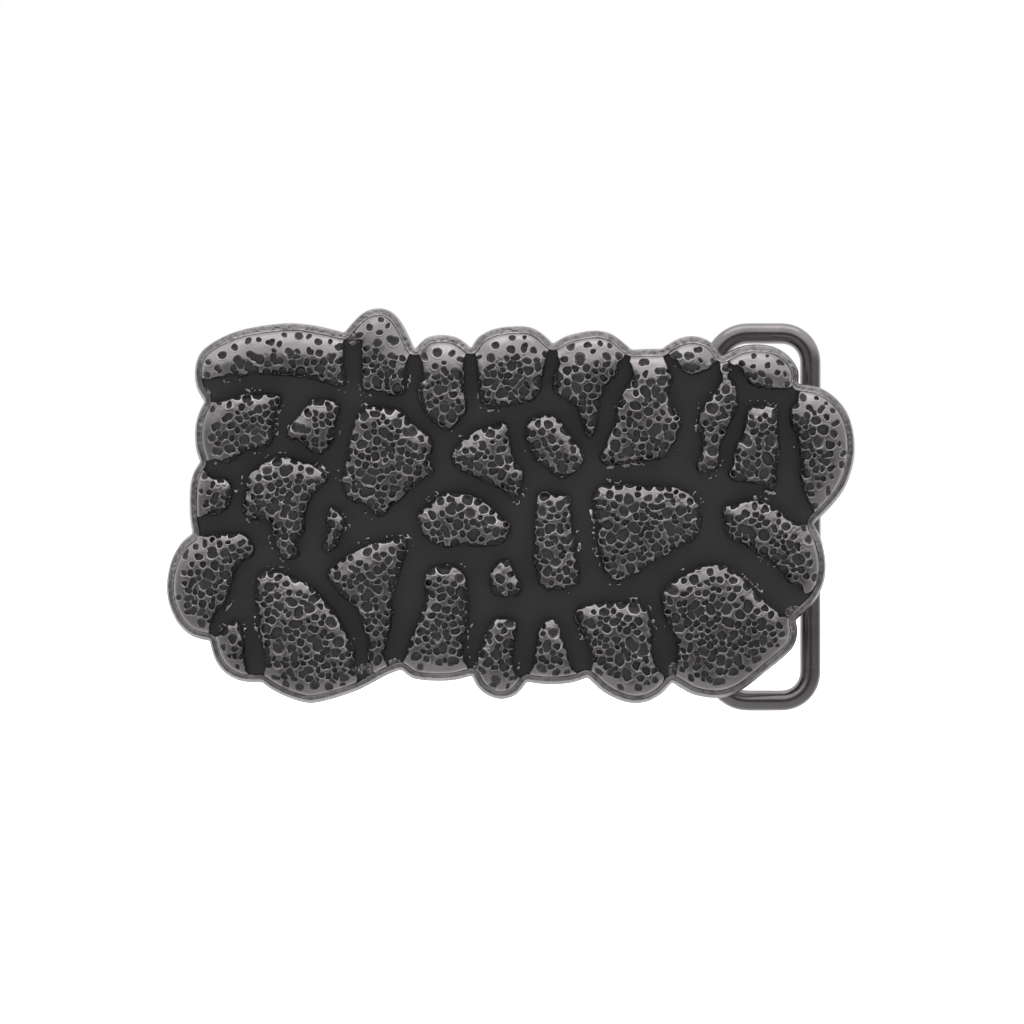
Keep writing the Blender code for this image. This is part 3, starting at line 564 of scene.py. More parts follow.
def ragged_outline(x, z, outline, rim_gap, seed):
    """(distance into the stone, the same with a wandering edge, how broad the stone is from 0 to 1)."""
    inward = signed_distance(x, z, outline) - STONE_CUT_INSET + STONE_GROWTH
    facing = sum(a * b for a, b in zip(np.gradient(inward, STONE_GRID), np.gradient(rim_gap, STONE_GRID)))
    facing = smoothstep(0.35, 0.8, blur(facing, 2.0))
    inward = inward + RIM_PULL * facing * (1 - smoothstep(0.6, 1.6, rim_gap))
    broad = float(smoothstep(0.6, 1.4, inward.max()))
    inward = inward + 0.1 * (1 - broad)
    wander = EDGE_WANDER * noise(x, z, 1.6, seed + 10) + 0.6 * EDGE_WANDER * noise(x, z, 0.5, seed + 11)
    return inward, inward + wander * (0.4 + 0.6 * broad), broad


def stone_dome(x, z, ragged, rim_gap, deepest, seed):
    """(the stone's height before its pits, 1 where it faces forward or down and 0 where it faces up)."""
    top = STONE_ROOT + STONE_FLANK + STONE_DOME
    flank = STONE_ROOT + STONE_FLANK * smoothstep(0.0, FLANK_WIDTH, ragged)
    side = flank + STONE_DOME * rounded(ragged, DOME_REACH)
    rim = -CREASE_DEPTH + (top + CREASE_DEPTH) * rounded(rim_gap + 0.05, RIM_REACH)
    dome = soft_least(side, rim, 0.3)
    soft = blur(dome, DOME_BLUR / STONE_GRID)
    faces_down = smoothstep(-0.36, 0.05, np.gradient(blur(dome, 0.5 / STONE_GRID), STONE_GRID, axis=1))
    inner = smoothstep(0.5, 1.3, deepest)
    dome = dome * (1 - inner) + soft * inner
    return dome + STONE_SWELL * noise(x, z, 3.2, seed + 12) * smoothstep(0.3, 1.5, deepest), faces_down


def fleck_height(x, z, inward, rim_gap, seed):
    """Chips of bare metal that show through the enamel just beside a stone."""
    beside = smoothstep(-FLECK_REACH, -0.45, inward) * (1 - smoothstep(-0.1, 0.05, inward))
    patch = smoothstep(0.28, 0.55, noise(x, z, 2.6, seed + 16)) * smoothstep(0.6, 1.1, rim_gap)
    chips = np.clip(noise(x, z, 0.3, seed + 17) + 0.5 * noise(x, z, 0.75, seed + 18) - 0.15, 0.0, 0.45)
    return FIELD_FLOOR + beside * patch * (0.1 + 0.75 * chips)


def stone_height(x, z, outline, edge_gap, number, rng):
    """(height, the values its material reads, inward distance) of one stone's height field."""
    seed = 1000 + 40 * number
    rim_gap = edge_gap - CREASE_LINE
    inward, ragged, broad = ragged_outline(x, z, outline, rim_gap, seed)
    deepest = np.minimum(inward, rim_gap)
    dome, faces_down = stone_dome(x, z, ragged, rim_gap, deepest, seed)
    smooth_width = 1.2 + 1.6 * float(smoothstep(8.0, 16.0, z).mean())
    pits = scatter_pits(rng, x, z, deepest, rim_gap, smooth_width, faces_down)
    cut, rims, share = carve(x, z, pits, seed + 20)
    fade = smoothstep(-0.02, 0.12, inward) * smoothstep(0.05, 0.3, rim_gap)
    bite = 0.6 + 0.4 * broad
    bite = bite + EDGE_BITE * broad * (1 - smoothstep(0.2, 0.75, inward)) * smoothstep(0.4, 0.9, rim_gap)
    crowd = smoothstep(smooth_width * 0.7, smooth_width * 1.3, rim_gap)
    grain_zone = smoothstep(0.2, 0.55, noise(x, z, 2.3, seed + 13)) * (0.15 + 0.85 * crowd)
    grain = noise(x, z, 0.22, seed + 14) * 0.06 * grain_zone
    ripple = noise(x, z, 0.55, seed + 15) * 0.04 * (0.15 + crowd)
    height = dome - cut * bite * fade + (PIT_RIM * rims + grain + ripple) * fade
    outside = ragged < 0
    beside = np.maximum(np.minimum(height, STONE_ROOT), fleck_height(x, z, inward, rim_gap, seed))
    height = np.where(outside, beside, height)
    height = np.where(rim_gap < -0.05, FIELD_FLOOR, height)
    foot = (1 - smoothstep(0.0, 0.1, ragged)) * (1 - outside * smoothstep(BARE_HEIGHT, -0.1, height))
    dirt = np.maximum(share * fade, foot * smoothstep(0.1, 0.3, rim_gap))
    # Painted highlight on the pits' lips, patchy and stronger over the crowded pits; bright also takes in
    # the bare metal chips beside the stone, which are their own colour.
    lip_highlight = 0.5 + 0.5 * smoothstep(-0.3, 0.4, noise(x, z, 1.2, seed + 19))
    lip_highlight = rims * fade * lip_highlight * (0.35 + 0.65 * crowd)
    bright = np.maximum(lip_highlight, outside * smoothstep(BARE_HEIGHT, -0.06, height))
    # Darker patina over the crowded pits, plus painted shade where the stone faces forward or down, away
    # from the light above.
    crowd_patina_and_shade = crowd * (0.15 + 0.7 * faces_down + 0.2 * noise(x, z, 1.8, seed + 21))
    return np.maximum(height, FIELD_LOWEST), {"pit": dirt, "rim": bright, "crowd": crowd_patina_and_shade}, inward


def field_cells(keep):
    """The cells of a grid whose corners are all kept, without corner-only contacts."""
    cells = keep[:-1, :-1] & keep[1:, :-1] & keep[:-1, 1:] & keep[1:, 1:]
    while True:
        a, b, c, d = cells[:-1, :-1], cells[1:, 1:], cells[1:, :-1], cells[:-1, 1:]
        down, up = a & b & ~c & ~d, ~a & ~b & c & d
        if not (down.any() or up.any()):
            return cells
        cells[1:, :-1] |= down
        cells[:-1, :-1] |= up


def field_solid(x, z, height, cells, base):
    """(points, faces, mask of the top's points, size of the lower ring) of a height field over a base."""
    index = np.full(x.shape, -1)
    used = np.zeros(x.shape, bool)
    for di in (0, 1):
        for dj in (0, 1):
            used[di:di + cells.shape[0], dj:dj + cells.shape[1]] |= cells
    total = int(used.sum())
    index[used] = np.arange(total)
    i, j = np.nonzero(cells)
    quads = np.stack([index[i, j], index[i, j + 1], index[i + 1, j + 1], index[i + 1, j]], axis=1)
    half = np.concatenate([quads[:, (k, (k + 1) % 4)] for k in range(4)])
    there, back = half[:, 0] * total + half[:, 1], half[:, 1] * total + half[:, 0]
    border = half[~np.isin(there, back)]
    following = dict(border.tolist())
    start = min(following)
    ring = [start]
    while following[ring[-1]] != start:
        ring.append(following[ring[-1]])
    top = place(x[used], height[used], z[used])
    low = place(x[used][ring], base, z[used][ring])
    count = len(ring)
    faces = quads.tolist()
    for k in range(count):
        n = (k + 1) % count
        faces.append((ring[n], ring[k], total + k, total + n))
    faces.append(tuple(range(total, total + count)))
    return np.vstack([top, low]), faces, used, count


def middle_island(cells):
    """Keeps the cells joined to the field's middle."""
    level = np.zeros(cells.shape, bool)
    filled = np.argwhere(cells)
    middle = filled[np.abs(filled - filled.mean(0)).sum(1).argmin()]
    level[tuple(middle)] = True
    while True:
        grown = level.copy()
        grown[1:] |= level[:-1]
        grown[:-1] |= level[1:]
        grown[:, 1:] |= level[:, :-1]
        grown[:, :-1] |= level[:, 1:]
        grown &= cells
        if (grown == level).all():
            return level
        level = grown


def field_piece(name, x, z, height, cells, values, look):
    """A visual piece of the casting over the cells of a height field."""
    points, faces, used, count = field_solid(x, z, height, cells, STONE_BASE)
    values = {key: np.concatenate([field[used], np.zeros(count)]) for key, field in values.items()}
    return ride_as(mesh_object(name, points, faces, look, values), "buckle_plate", "gunmetal_casting")


def field_grid(low, high, spacing=STONE_GRID):
    return np.meshgrid(*(np.arange(low[k], high[k], spacing) for k in (0, 1)), indexing="ij")


def stone(number, outline, edge, look):
    """One of the casting's pitted stones, over a skirt that sinks into the enamel."""
    rng = np.random.default_rng(500 + number)
    margin = STONE_SKIRT + 2 * STONE_GRID
    x, z = field_grid(outline.min(0) - margin, outline.max(0) + margin)
    edge_gap = signed_distance(x, z, edge)
    height, values, inward = stone_height(x, z, outline, edge_gap, number, rng)
    cells = middle_island(field_cells((inward > -STONE_SKIRT) & (edge_gap > FIELD_EDGE)))
    return field_piece(f"stone_{number + 1:02d}", x, z, height, cells, values, look)


def rough_spot(number, spot, edge, look):
    """A patch of bare, grainy casting that the enamel doesn't quite cover."""
    sx, sz, reach_x, reach_z = spot
    center, reach = np.array([sx, sz]), np.array([reach_x, reach_z])
    x, z = field_grid(center - 1.5 * reach, center + 1.5 * reach)
    out = np.hypot((x - sx) / reach_x, (z - sz) / reach_z) + 0.3 * noise(x, z, 0.9, 2000 + number)
    edge_gap = signed_distance(x, z, edge)
    shown = 1 - smoothstep(0.75, 1.05, out)
    grain = 0.09 * noise(x, z, 0.34, 2100 + number) + 0.05 * noise(x, z, 0.2, 2200 + number)
    height = -0.4 + shown * (0.37 + grain)
    cells = middle_island(field_cells((out < 1.1) & (edge_gap > FIELD_EDGE + 0.2)))
    bright = smoothstep(0.03, 0.1, grain)
    dirt = 1 - smoothstep(-0.07, 0.0, grain)
    values = {"pit": dirt, "rim": bright, "crowd": np.full(x.shape, 0.6)}
    return field_piece(f"rough_spot_{number + 1}", x, z, height, cells, values, look)


# ---- the plate and the enamel


def nearest_stone(x, z, outlines):
    """The distance into the nearest stone's outline, negative outside all of them."""
    best = np.full(np.shape(x), -9.0)
    for outline in outlines:
        low, high = outline.min(0) - 1.0, outline.max(0) + 1.0
        near = (x > low[0]) & (x < high[0]) & (z > low[1]) & (z < high[1])
        if near.any():
            best[near] = np.maximum(best[near], signed_distance(x[near], z[near], outline))
    return best


def grain_mask(x, z):
    """How strong the flange's grain is: full at the rough spots, and patchy elsewhere."""
    mask = np.zeros(np.shape(x))
    for sx, sz, radius in GRAIN_SPOTS:
        mask = np.maximum(mask, 1 - smoothstep(0.6 * radius, radius, np.hypot(x - sx, z - sz)))
    return np.maximum(mask, 0.25 + 0.5 * smoothstep(0.0, 0.5, noise(x, z, 5.0, 71)))


def rim_height(x, z, inset, draft, outlines):
    """The flange's height, slanting outward to a rounded corner, how far it darkens toward the enamel
    channel, and a painted highlight line along its ridge.
    """
    near = nearest_stone(x, z, outlines)
    out = np.clip((RIDGE_LINE - inset) / (RIDGE_LINE - draft), 0.0, 1.0)
    slant = -FLANGE_FALL * out ** 1.15 - CORNER_DROP * (1 - rounded(inset - draft, FLANGE_CORNER))
    wander = inset + 0.03 * noise(x, z, 0.8, 72)
    ridge = RIDGE_HEIGHT * np.exp(-(((wander - RIDGE_LINE) / LINE_WIDTH) ** 2))
    beside = smoothstep(-0.9, -0.5, near)
    crease = beside * smoothstep(RIDGE_LINE + 0.04, CREASE_LINE, wander)
    under = beside * smoothstep(CREASE_LINE + 0.05, CREASE_LINE + 0.2, inset)
    channel = smoothstep(CHANNEL_LINE - 0.1, CHANNEL_LINE + 0.1, inset + 0.05 * noise(x, z, 0.9, 73))
    sunk = np.maximum(CREASE_DEPTH * crease + 0.3 * under, CHANNEL_DEPTH * channel)
    grain = FLANGE_GRAIN * grain_mask(x, z) * noise(x, z, 0.23, 74) * (1 - crease) * (inset > draft + 0.1)
    waver = 0.02 * noise(x, z, 1.3, 75)
    # A painted highlight: a thin light line along the ridge beside the stones.
    line = np.exp(-(((wander - RIDGE_LINE - 0.02) / LINE_WIDTH) ** 2)) * beside
    return slant + ridge - sunk + grain + waver, channel, line * smoothstep(-0.3, 0.2, noise(x, z, 3.0, 76))


def sheet_faces(ring_points, outline, spacing, first):
    """(extra points, triangles) that fill an outline, whose ring is already in the mesh."""
    low, high = outline.min(0), outline.max(0)
    gx, gz = field_grid(low, high, spacing)
    gx[:, ::2] += 0.5 * spacing
    gap = signed_distance(gx, gz, outline)
    inside = gap > 0.45 * spacing
    extra = np.stack([gx[inside], gz[inside]], axis=1)
    flat = [Vector(p) for p in np.vstack([outline, extra])]
    found = delaunay_2d_cdt(flat, [], [list(range(len(outline)))], 1, 1e-6)
    lookup = list(ring_points) + list(range(first, first + len(extra)))
    return extra, [tuple(lookup[i] for i in triangle) for triangle in found[2]]


def arc(center, radius, start, end, steps=24):
    a = np.radians(np.linspace(start, end, steps + 1))
    return np.stack([center[0] + radius * np.cos(a), center[1] + radius * np.sin(a)], axis=1)


def disc(center, radius, sides=64):
    return arc(center, radius, 0, 360, sides)[:-1]


def rounded_rectangle(center, half_x, half_z, radius):
    x, z = half_x - radius, half_z - radius
    corners = ((x, z, 0), (-x, z, 90), (-x, -z, 180), (x, -z, 270))
    return np.vstack([arc((center[0] + dx, center[1] + dz), radius, start, start + 90, 8)
                      for dx, dz, start in corners])


def grown(outline, distance):
    """A convex counter-clockwise outline moved outward."""
    return outline - distance * left_of(unit(chords(outline)))


def seat_shell(outline, floor_depth, face_depth, fillet):
    """A raised seat on the back: a fillet at its foot, drafted walls and a rounded top edge."""
    rings = [place(outline[:, 0], SEAT_SUNK - floor_depth, outline[:, 1])]
    for a in QUARTER_TURN:
        ring = grown(outline, fillet * (1 - math.sin(a)))
        rings.append(place(ring[:, 0], -(floor_depth + fillet * (1 - math.cos(a))), ring[:, 1]))
    for a in QUARTER_TURN:
        ring = grown(outline, -SEAT_DRAFT - SEAT_ROUND * (1 - math.cos(a)))
        rings.append(place_flat(ring[:, 0], face_depth - SEAT_ROUND * (1 - math.sin(a)), ring[:, 1]))
    return swept_rings(rings)


def seats():
    """(outline, face depth, fillet) of the pad, the hinge's two seats and the hook's seat."""
    left, right = STRAP_TAB_X - 0.6, HINGE_X + WIRE_RADIUS + STRAP_SHEET
    middle, half = 0.5 * (left + right), 0.5 * (right - left)
    found = [(rounded_rectangle((0.0, 0.0), PAD_HALF_WIDTH, PAD_HALF_HEIGHT, 1.2), PAD_FACE, 0.35)]
    for z in (RIVET_Z, -RIVET_Z):
        found.append((rounded_rectangle((middle, z), half, SEAT_HALF_LENGTH, 0.8), SEAT_FACE, 0.5))
    found.append((disc((HOOK_X, 0.0), HOOK_SEAT_RADIUS), SEAT_FACE, 0.5))
    return found


def plate(edge, outlines, look):
    """The casting without its stones: rim, channel floor, recessed back and seats."""
    rim = even_stations(edge)
    inward, room = rim[1:]
    count = len(room)
    rings, marks = [], []

    def add(inset, height, channel_darkening=0.0, bright=0.0):
        x, z = inset_ring(rim, inset).T
        rings.append(place(x, height, z))
        marks.append(np.broadcast_arrays(channel_darkening, bright, room)[:2])

    for inset, height in BACK_PROFILE:
        add(inset, height)
    draft = EDGE_DRAFT + DRAFT_LEAN * inward[:, 1]
    for share, height in DRAFT_PROFILE:
        add(draft * share, height)
    widest = RIM_INNER - EDGE_DRAFT
    for inset in np.concatenate([np.linspace(0.0, 0.4, 8), np.linspace(0.45, widest, 19)]):
        at = np.minimum(draft + 0.01 + inset, RIM_INNER) if inset < widest else RIM_INNER
        x, z = inset_ring(rim, at).T
        add(at, *rim_height(x, z, at, draft, outlines))
    points, faces = swept_rings(rings, closed=False)
    for row, inset, depth in ((len(rings) - 1, RIM_INNER, CHANNEL_DEPTH), (0, BACK_INNER, RECESS_DEPTH)):
        outline = inset_ring(rim, inset)
        border = range(row * count, (row + 1) * count)
        extra, triangles = sheet_faces(border, outline, FLOOR_SPACING, len(points))
        points = np.vstack([points, place(extra[:, 0], -depth, extra[:, 1])])
        faces += triangles
    for outline, face, fillet in seats():
        more, shell = seat_shell(outline, RECESS_DEPTH, face, fillet)
        faces += [tuple(len(points) + i for i in f) for f in shell]
        points = np.vstack([points, more])
    # The two marks are a share that darkens the flange toward the enamel channel and a painted highlight
    # along its ridge.
    crease, painted_ridge_highlight = np.pad(np.hstack(marks), ((0, 0), (0, len(points) - count * len(rings))))
    values = {"crease": crease, "painted_ridge_highlight": painted_ridge_highlight}
    made = outward(mesh_object("face_plate", points, faces, look, values))
    return ride_as(made, "buckle_plate", "gunmetal_casting", "face_casting")


def enamel(edge, look):
    """The black fill, a bowed slab up to the flange, slightly uneven as resin sets."""
    outline = inset_ring(even_stations(edge), CHANNEL_LINE - 0.05)[::3]
    rim = len(outline)
    extra, triangles = sheet_faces(range(rim), outline, ENAMEL_SPACING, rim)
    flat = np.vstack([outline, extra])
    uneven = 0.025 * noise(flat[:, 0], flat[:, 1], 2.6, 81) + 0.012 * noise(flat[:, 0], flat[:, 1], 1.1, 82)
    front = place(flat[:, 0], -ENAMEL_SUNK + uneven, flat[:, 1])
    back = place(flat[:, 0], -CHANNEL_DEPTH + 0.08, flat[:, 1])
    total = len(flat)
    faces = triangles + [tuple(total + i for i in reversed(t)) for t in triangles]
    for i in range(rim):
        j = (i + 1) % rim
        faces.append((i, j, total + j, total + i))
    shell = np.vstack([front, back]), faces
    return hardware("enamel_fill", shell, look, "buckle_plate", "black_enamel", "black_enamel")


# ---- the hardware on the back


def swept_wire(path, radii, sides=40):
    """(points, faces) of a round wire through the path, closed at both ends."""
    path = np.asarray(path)
    along = unit(np.gradient(path, axis=0))
    rings = []
    up = np.array([0.0, 0.0, 1.0]) if abs(along[0][2]) < 0.9 else np.array([1.0, 0.0, 0.0])
    a = np.arange(sides)[:, None] * 2 * math.pi / sides
    for here, way, radius in zip(path, along, radii):
        up = up - way * up.dot(way)
        up /= np.linalg.norm(up)
        rings.append(here + radius * (np.cos(a) * up + np.sin(a) * np.cross(way, up)))
    return swept_rings(rings)


def resampled(path, spacing):
    """(points at an even spacing along a path, their distances from its start)."""
    gap = np.concatenate([[0.0], np.cumsum(np.linalg.norm(np.diff(path, axis=0), axis=1))])
    wanted = np.linspace(0.0, gap[-1], int(gap[-1] / spacing) + 1)
    return np.stack([np.interp(wanted, gap, path[:, k]) for k in range(path.shape[1])], axis=1), wanted


def eased(line, times):
    """An open line with its corners evened out."""
    for _ in range(times):
        line[1:-1] = 0.5 * line[1:-1] + 0.25 * (line[:-2] + line[2:])
    return line


def tip(gap, rounding, least):
    """How much a wire's radius has shrunk at a gap from its rounded end."""
    return rounding * (1 - np.maximum(rounded(gap, rounding), least))


def belt_loop(look):
    """The wire loop, from its upper pin out round both corners and back to its lower pin."""
    upper = np.vstack([
        [(HINGE_X, LOOP_PIN_TIP_Z)],
        arc((HINGE_X + LOOP_HINGE_BEND, LOOP_ARM_Z - LOOP_HINGE_BEND), LOOP_HINGE_BEND, 180, 90),
        arc((LOOP_BAR_X - LOOP_CORNER, LOOP_ARM_Z - LOOP_CORNER), LOOP_CORNER, 90, 0),
    ])
    line, along = resampled(np.vstack([upper, (upper * (1, -1))[::-1]]), WIRE_SPACING)
    line = eased(line, 6)
    radii = WIRE_RADIUS - tip(np.minimum(along, along[-1] - along), WIRE_TIP_ROUND, 0.02)
    radii = radii + 0.008 * noise(line[:, 0], line[:, 1], 3.0, 91)
    path = place_flat(line[:, 0], HINGE_DEPTH, line[:, 1])
    shell = swept_wire(path, radii * MM)
    return hardware("belt_loop_wire", shell, look, "loop", "gunmetal_wire", "belt_loop")


def hinge_strap(look):
    """The strap's section, a flat tab rolled round the wire, swept along the hinge."""
    inner = WIRE_RADIUS + BORE_CLEARANCE
    outer = inner + STRAP_SHEET
    middle = 0.5 * (inner + outer)
    face = SEAT_FACE + FIT_GAP
    start = STRAP_TAB_X + STRAP_EDGE

    def rolled(radius, turn):
        return HINGE_X + radius * math.sin(turn), face + outer - radius * math.cos(turn)

    turns = np.radians(np.linspace(0, STRAP_WRAP_DEGREES, 61))
    tab = np.linspace(start, HINGE_X, 14)[:-1]
    section = [(start - STRAP_EDGE * math.sin(a), face + STRAP_EDGE * (1 - math.cos(a)))
               for a in np.radians((90, 60, 30))]
    section += [(x, face) for x in tab]
    section += [rolled(outer, a) for a in turns]
    section += [rolled(middle + 0.5 * STRAP_SHEET * math.cos(b), turns[-1] + 0.1 * math.sin(b))
                for b in np.radians((30, 60, 90, 120, 150))]
    section += [rolled(inner, a) for a in turns[::-1]]
    section += [(x, face + STRAP_SHEET) for x in tab[::-1]]
    section += [(start - STRAP_EDGE * math.cos(a), face + STRAP_SHEET - STRAP_EDGE * (1 - math.sin(a)))
                for a in np.radians((90, 60, 30, 0))]
    section = np.array(section)
    into = left_of(unit(chords(section)))
    if area_of(section) < 0:
        into = -into
    ends = [(-STRAP_HALF_LENGTH + STRAP_END_ROUND * (1 - math.cos(a)), STRAP_END_ROUND * (1 - math.sin(a)))
            for a in QUARTER_TURN]
    stops = ends + [(z, 0.0) for z in np.linspace(-12, 12, 17)] + [(-z, gap) for z, gap in reversed(ends)]
    rings = []
    for z, gap in stops:
        ring = section + into * gap
        rings.append(place_flat(ring[:, 0], ring[:, 1], z))
    shell = swept_rings(rings)
    return hardware("hinge_strap_sheet", shell, look, "buckle_plate", "gunmetal_strap", "hinge_strap")


def turned(profile, center, sides=56):
    """(points, faces) turned about the line along Y at center, from (radius, depth)."""
    rings = []
    for radius, depth in profile:
        circle = disc(center, radius, sides)
        rings.append(place_flat(circle[:, 0], depth, circle[:, 1]))
    return swept_rings(rings)


def rivet(side, z, look):
    seat = SEAT_FACE + STRAP_SHEET + 2 * FIT_GAP
    profile = [(RIVET_SHANK_RADIUS, SEAT_FACE - HIDDEN_DEPTH), (RIVET_SHANK_RADIUS, seat + 0.02),
               (RIVET_HEAD_RADIUS - 0.15, seat), (RIVET_HEAD_RADIUS - 0.03, seat + 0.04)]
    profile += [(RIVET_HEAD_RADIUS * math.cos(a), seat + 0.12 + RIVET_HEAD_HEIGHT * math.sin(a))
                for a in np.radians(np.linspace(0, 84, 15))]
    shell = turned(profile, (RIVET_X, z))
    return hardware(f"rivet_{side}", shell, look, "buckle_plate", "gunmetal_strap", f"hinge_rivet_{side}")


def hook_base(look):
    """The round plate under the hook, with a rounded edge and a fillet at the pin's foot."""
    seat = SEAT_FACE + FIT_GAP
    top = seat + HOOK_BASE_THICKNESS
    profile = [(HOOK_BASE_RADIUS - 0.08, seat), (HOOK_BASE_RADIUS, seat + 0.08)]
    profile += [(HOOK_BASE_RADIUS - HOOK_BASE_ROUND + HOOK_BASE_ROUND * math.cos(a),
                 top - HOOK_BASE_ROUND + HOOK_BASE_ROUND * math.sin(a)) for a in QUARTER_TURN]
    profile += [(HOOK_RADIUS + 0.1 + HOOK_FILLET * (1 - math.sin(a)), top + HOOK_FILLET * (1 - math.cos(a)))
                for a in np.radians((0, 22, 45, 68, 88))]
    profile += [(HOOK_RADIUS - 0.1, top + HOOK_FILLET + 0.05)]
    shell = turned(profile, (HOOK_X, 0.0))
    return hardware("hook_base_disc", shell, look, "buckle_plate", "gunmetal_wire", "hook_base")


def hook_pin(look):
    """The hook's wire: up from its base, bent away from the hinge, with a rounded nose."""
    nose = SEAT_FACE + FIT_GAP + HOOK_BASE_THICKNESS + HOOK_GAP + HOOK_RADIUS
    bend = arc((HOOK_X - HOOK_BEND, nose - HOOK_BEND), HOOK_BEND, 0, 90)
    line = np.vstack([[(HOOK_X, SEAT_FACE - HIDDEN_DEPTH)], bend, [(HOOK_X - HOOK_REACH, nose)]])
    line, along = resampled(line, HOOK_SPACING)
    line = eased(line, 8)
    left = along[-1] - along
    taper = 1 - 0.12 * smoothstep(3.0, 0.5, left)
    radii = HOOK_RADIUS * taper - tip(left, HOOK_TIP_ROUND, 0.0447)
    shell = swept_wire(place_flat(line[:, 0], line[:, 1], 0.0), radii * MM, 44)
    return hardware("hook_pin_nose", shell, look, "buckle_plate", "gunmetal_wire", "hook_pin")


# ---- materials


class Nodes:
    """A node tree, written as calls."""

    def __init__(self, tree):
        self.tree = tree

    def put(self, socket, value):
        if isinstance(value, bpy.types.NodeSocket):
            self.tree.links.new(value, socket)
        else:
            socket.default_value = value

    def add(self, kind, inputs=None, **settings):
        node = self.tree.nodes.new(kind)
        for key, value in settings.items():
            setattr(node, key, value)
        for key, value in (inputs or {}).items():
            self.put(node.inputs[key], value)
        return node

    def ramp(self, value, low, high, out_low=0.0, out_high=1.0):
        inputs = {"Value": value, "From Min": low, "From Max": high, "To Min": out_low, "To Max": out_high}
        return self.add("ShaderNodeMapRange", inputs, interpolation_type="SMOOTHSTEP").outputs["Result"]

    def mix(self, share, a, b):
        inputs = {"Factor": share, "A": a, "B": b}
        return self.add("ShaderNodeMix", inputs, data_type="RGBA").outputs["Result"]

    def math(self, operation, a, b):
        return self.add("ShaderNodeMath", {0: a, 1: b}, operation=operation).outputs["Value"]


class Look(Nodes):
    """A material, whose patterns lie in the object's own coordinates."""

    def __init__(self, name):
        self.made = bpy.data.materials.new(name)
        self.made.use_nodes = True
        super().__init__(self.made.node_tree)
        self.shader = self.tree.nodes["Principled BSDF"]
        self.place = self.add("ShaderNodeTexCoord").outputs["Object"]

    def attribute(self, name):
        return self.add("ShaderNodeAttribute", attribute_name=name).outputs["Fac"]

    def noise(self, scale, detail=3.0, rough=0.5, stretch=None):
        place = self.place
        if stretch:
            place = self.add("ShaderNodeMapping", {"Vector": place, "Scale": stretch}).outputs["Vector"]
        inputs = {"Vector": place, "Scale": scale, "Detail": detail, "Roughness": rough}
        return self.add("ShaderNodeTexNoise", inputs).outputs["Fac"]

    def bump(self, height, strength, distance_mm):
        inputs = {"Height": height, "Strength": strength, "Distance": distance_mm * MM}
        self.put(self.shader.inputs["Normal"], self.add("ShaderNodeBump", inputs).outputs["Normal"])

    def set(self, color, roughness, metallic):
        for key, value in (("Base Color", color), ("Roughness", roughness), ("Metallic", metallic)):
            self.put(self.shader.inputs[key], value)
        return self.made


def stone_look():
    """Gunmetal plating with a painted highlight on the pits' lips, darker with patina over the crowded pits
    and with painted shade where they face forward or down, and with enamel left in the pits.
    """
    n = Look("gunmetal_stones")
    pit = n.attribute("pit")
    rim = n.attribute("rim")
    cloud = n.noise(220.0, 4.0, 0.55)
    fine = n.noise(2600.0, 3.0, 0.6)
    clean = n.mix(n.ramp(cloud, 0.35, 0.65), (0.3, 0.283, 0.294, 1), (0.385, 0.365, 0.375, 1))
    # The crowd attribute darkens with patina over the crowded pits and with painted shade where the stone
    # faces forward or down.
    plain = n.mix(n.attribute("crowd"), clean, (0.15, 0.139, 0.146, 1))
    # The rim attribute lightens with a painted highlight on the pits' lips, the bare metal of the chips,
    # and the high points of the rough spots' grain.
    highlight_and_bare_metal = n.mix(n.math("MULTIPLY", rim, 0.85), plain, (0.66, 0.63, 0.625, 1))
    filled = n.ramp(n.math("ADD", pit, n.ramp(fine, 0.3, 0.7, -0.12, 0.12)), 0.6, 0.95)
    color = n.mix(filled, highlight_and_bare_metal, (0.025, 0.0235, 0.025, 1))
    roughness = n.math("ADD", n.ramp(fine, 0.3, 0.7, 0.27, 0.36), n.math("MULTIPLY", filled, 0.25))
    metallic = n.math("SUBTRACT", 1.0, n.math("MULTIPLY", filled, 0.9))
    n.bump(n.noise(1500.0, 5.0, 0.65), 0.25, 0.03)
    return n.set(color=color, roughness=roughness, metallic=metallic)


def plate_look():
    """The same plating on the flange and the back, darker toward the enamel channel, with a painted
    highlight along the flange's ridge and a cast grain.
    """
    n = Look("gunmetal_plate")
    crease = n.attribute("crease")
    cloud = n.noise(180.0, 4.0, 0.6)
    fine = n.noise(2400.0, 4.0, 0.6)
    plain = n.mix(n.ramp(cloud, 0.35, 0.68), (0.28, 0.264, 0.277, 1), (0.37, 0.351, 0.366, 1))
    grainy = n.mix(n.ramp(n.noise(1500.0, 4.0, 0.6), 0.44, 0.62, 0.0, 0.6), plain, (0.13, 0.12, 0.128, 1))
    # Painted highlight: a thin light line along the flange's ridge.
    bright = n.mix(n.attribute("painted_ridge_highlight"), grainy, (0.72, 0.69, 0.7, 1))
    color = n.mix(n.ramp(crease, 0.2, 0.9, 0.0, 0.7), bright, (0.12, 0.11, 0.118, 1))
    coarse = n.math("MULTIPLY", n.noise(420.0, 2.0), 0.6)
    n.bump(n.math("ADD", n.noise(1300.0, 5.0, 0.7), coarse), 0.45, 0.05)
    return n.set(color=color, roughness=n.ramp(fine, 0.3, 0.7, 0.28, 0.42), metallic=1.0)


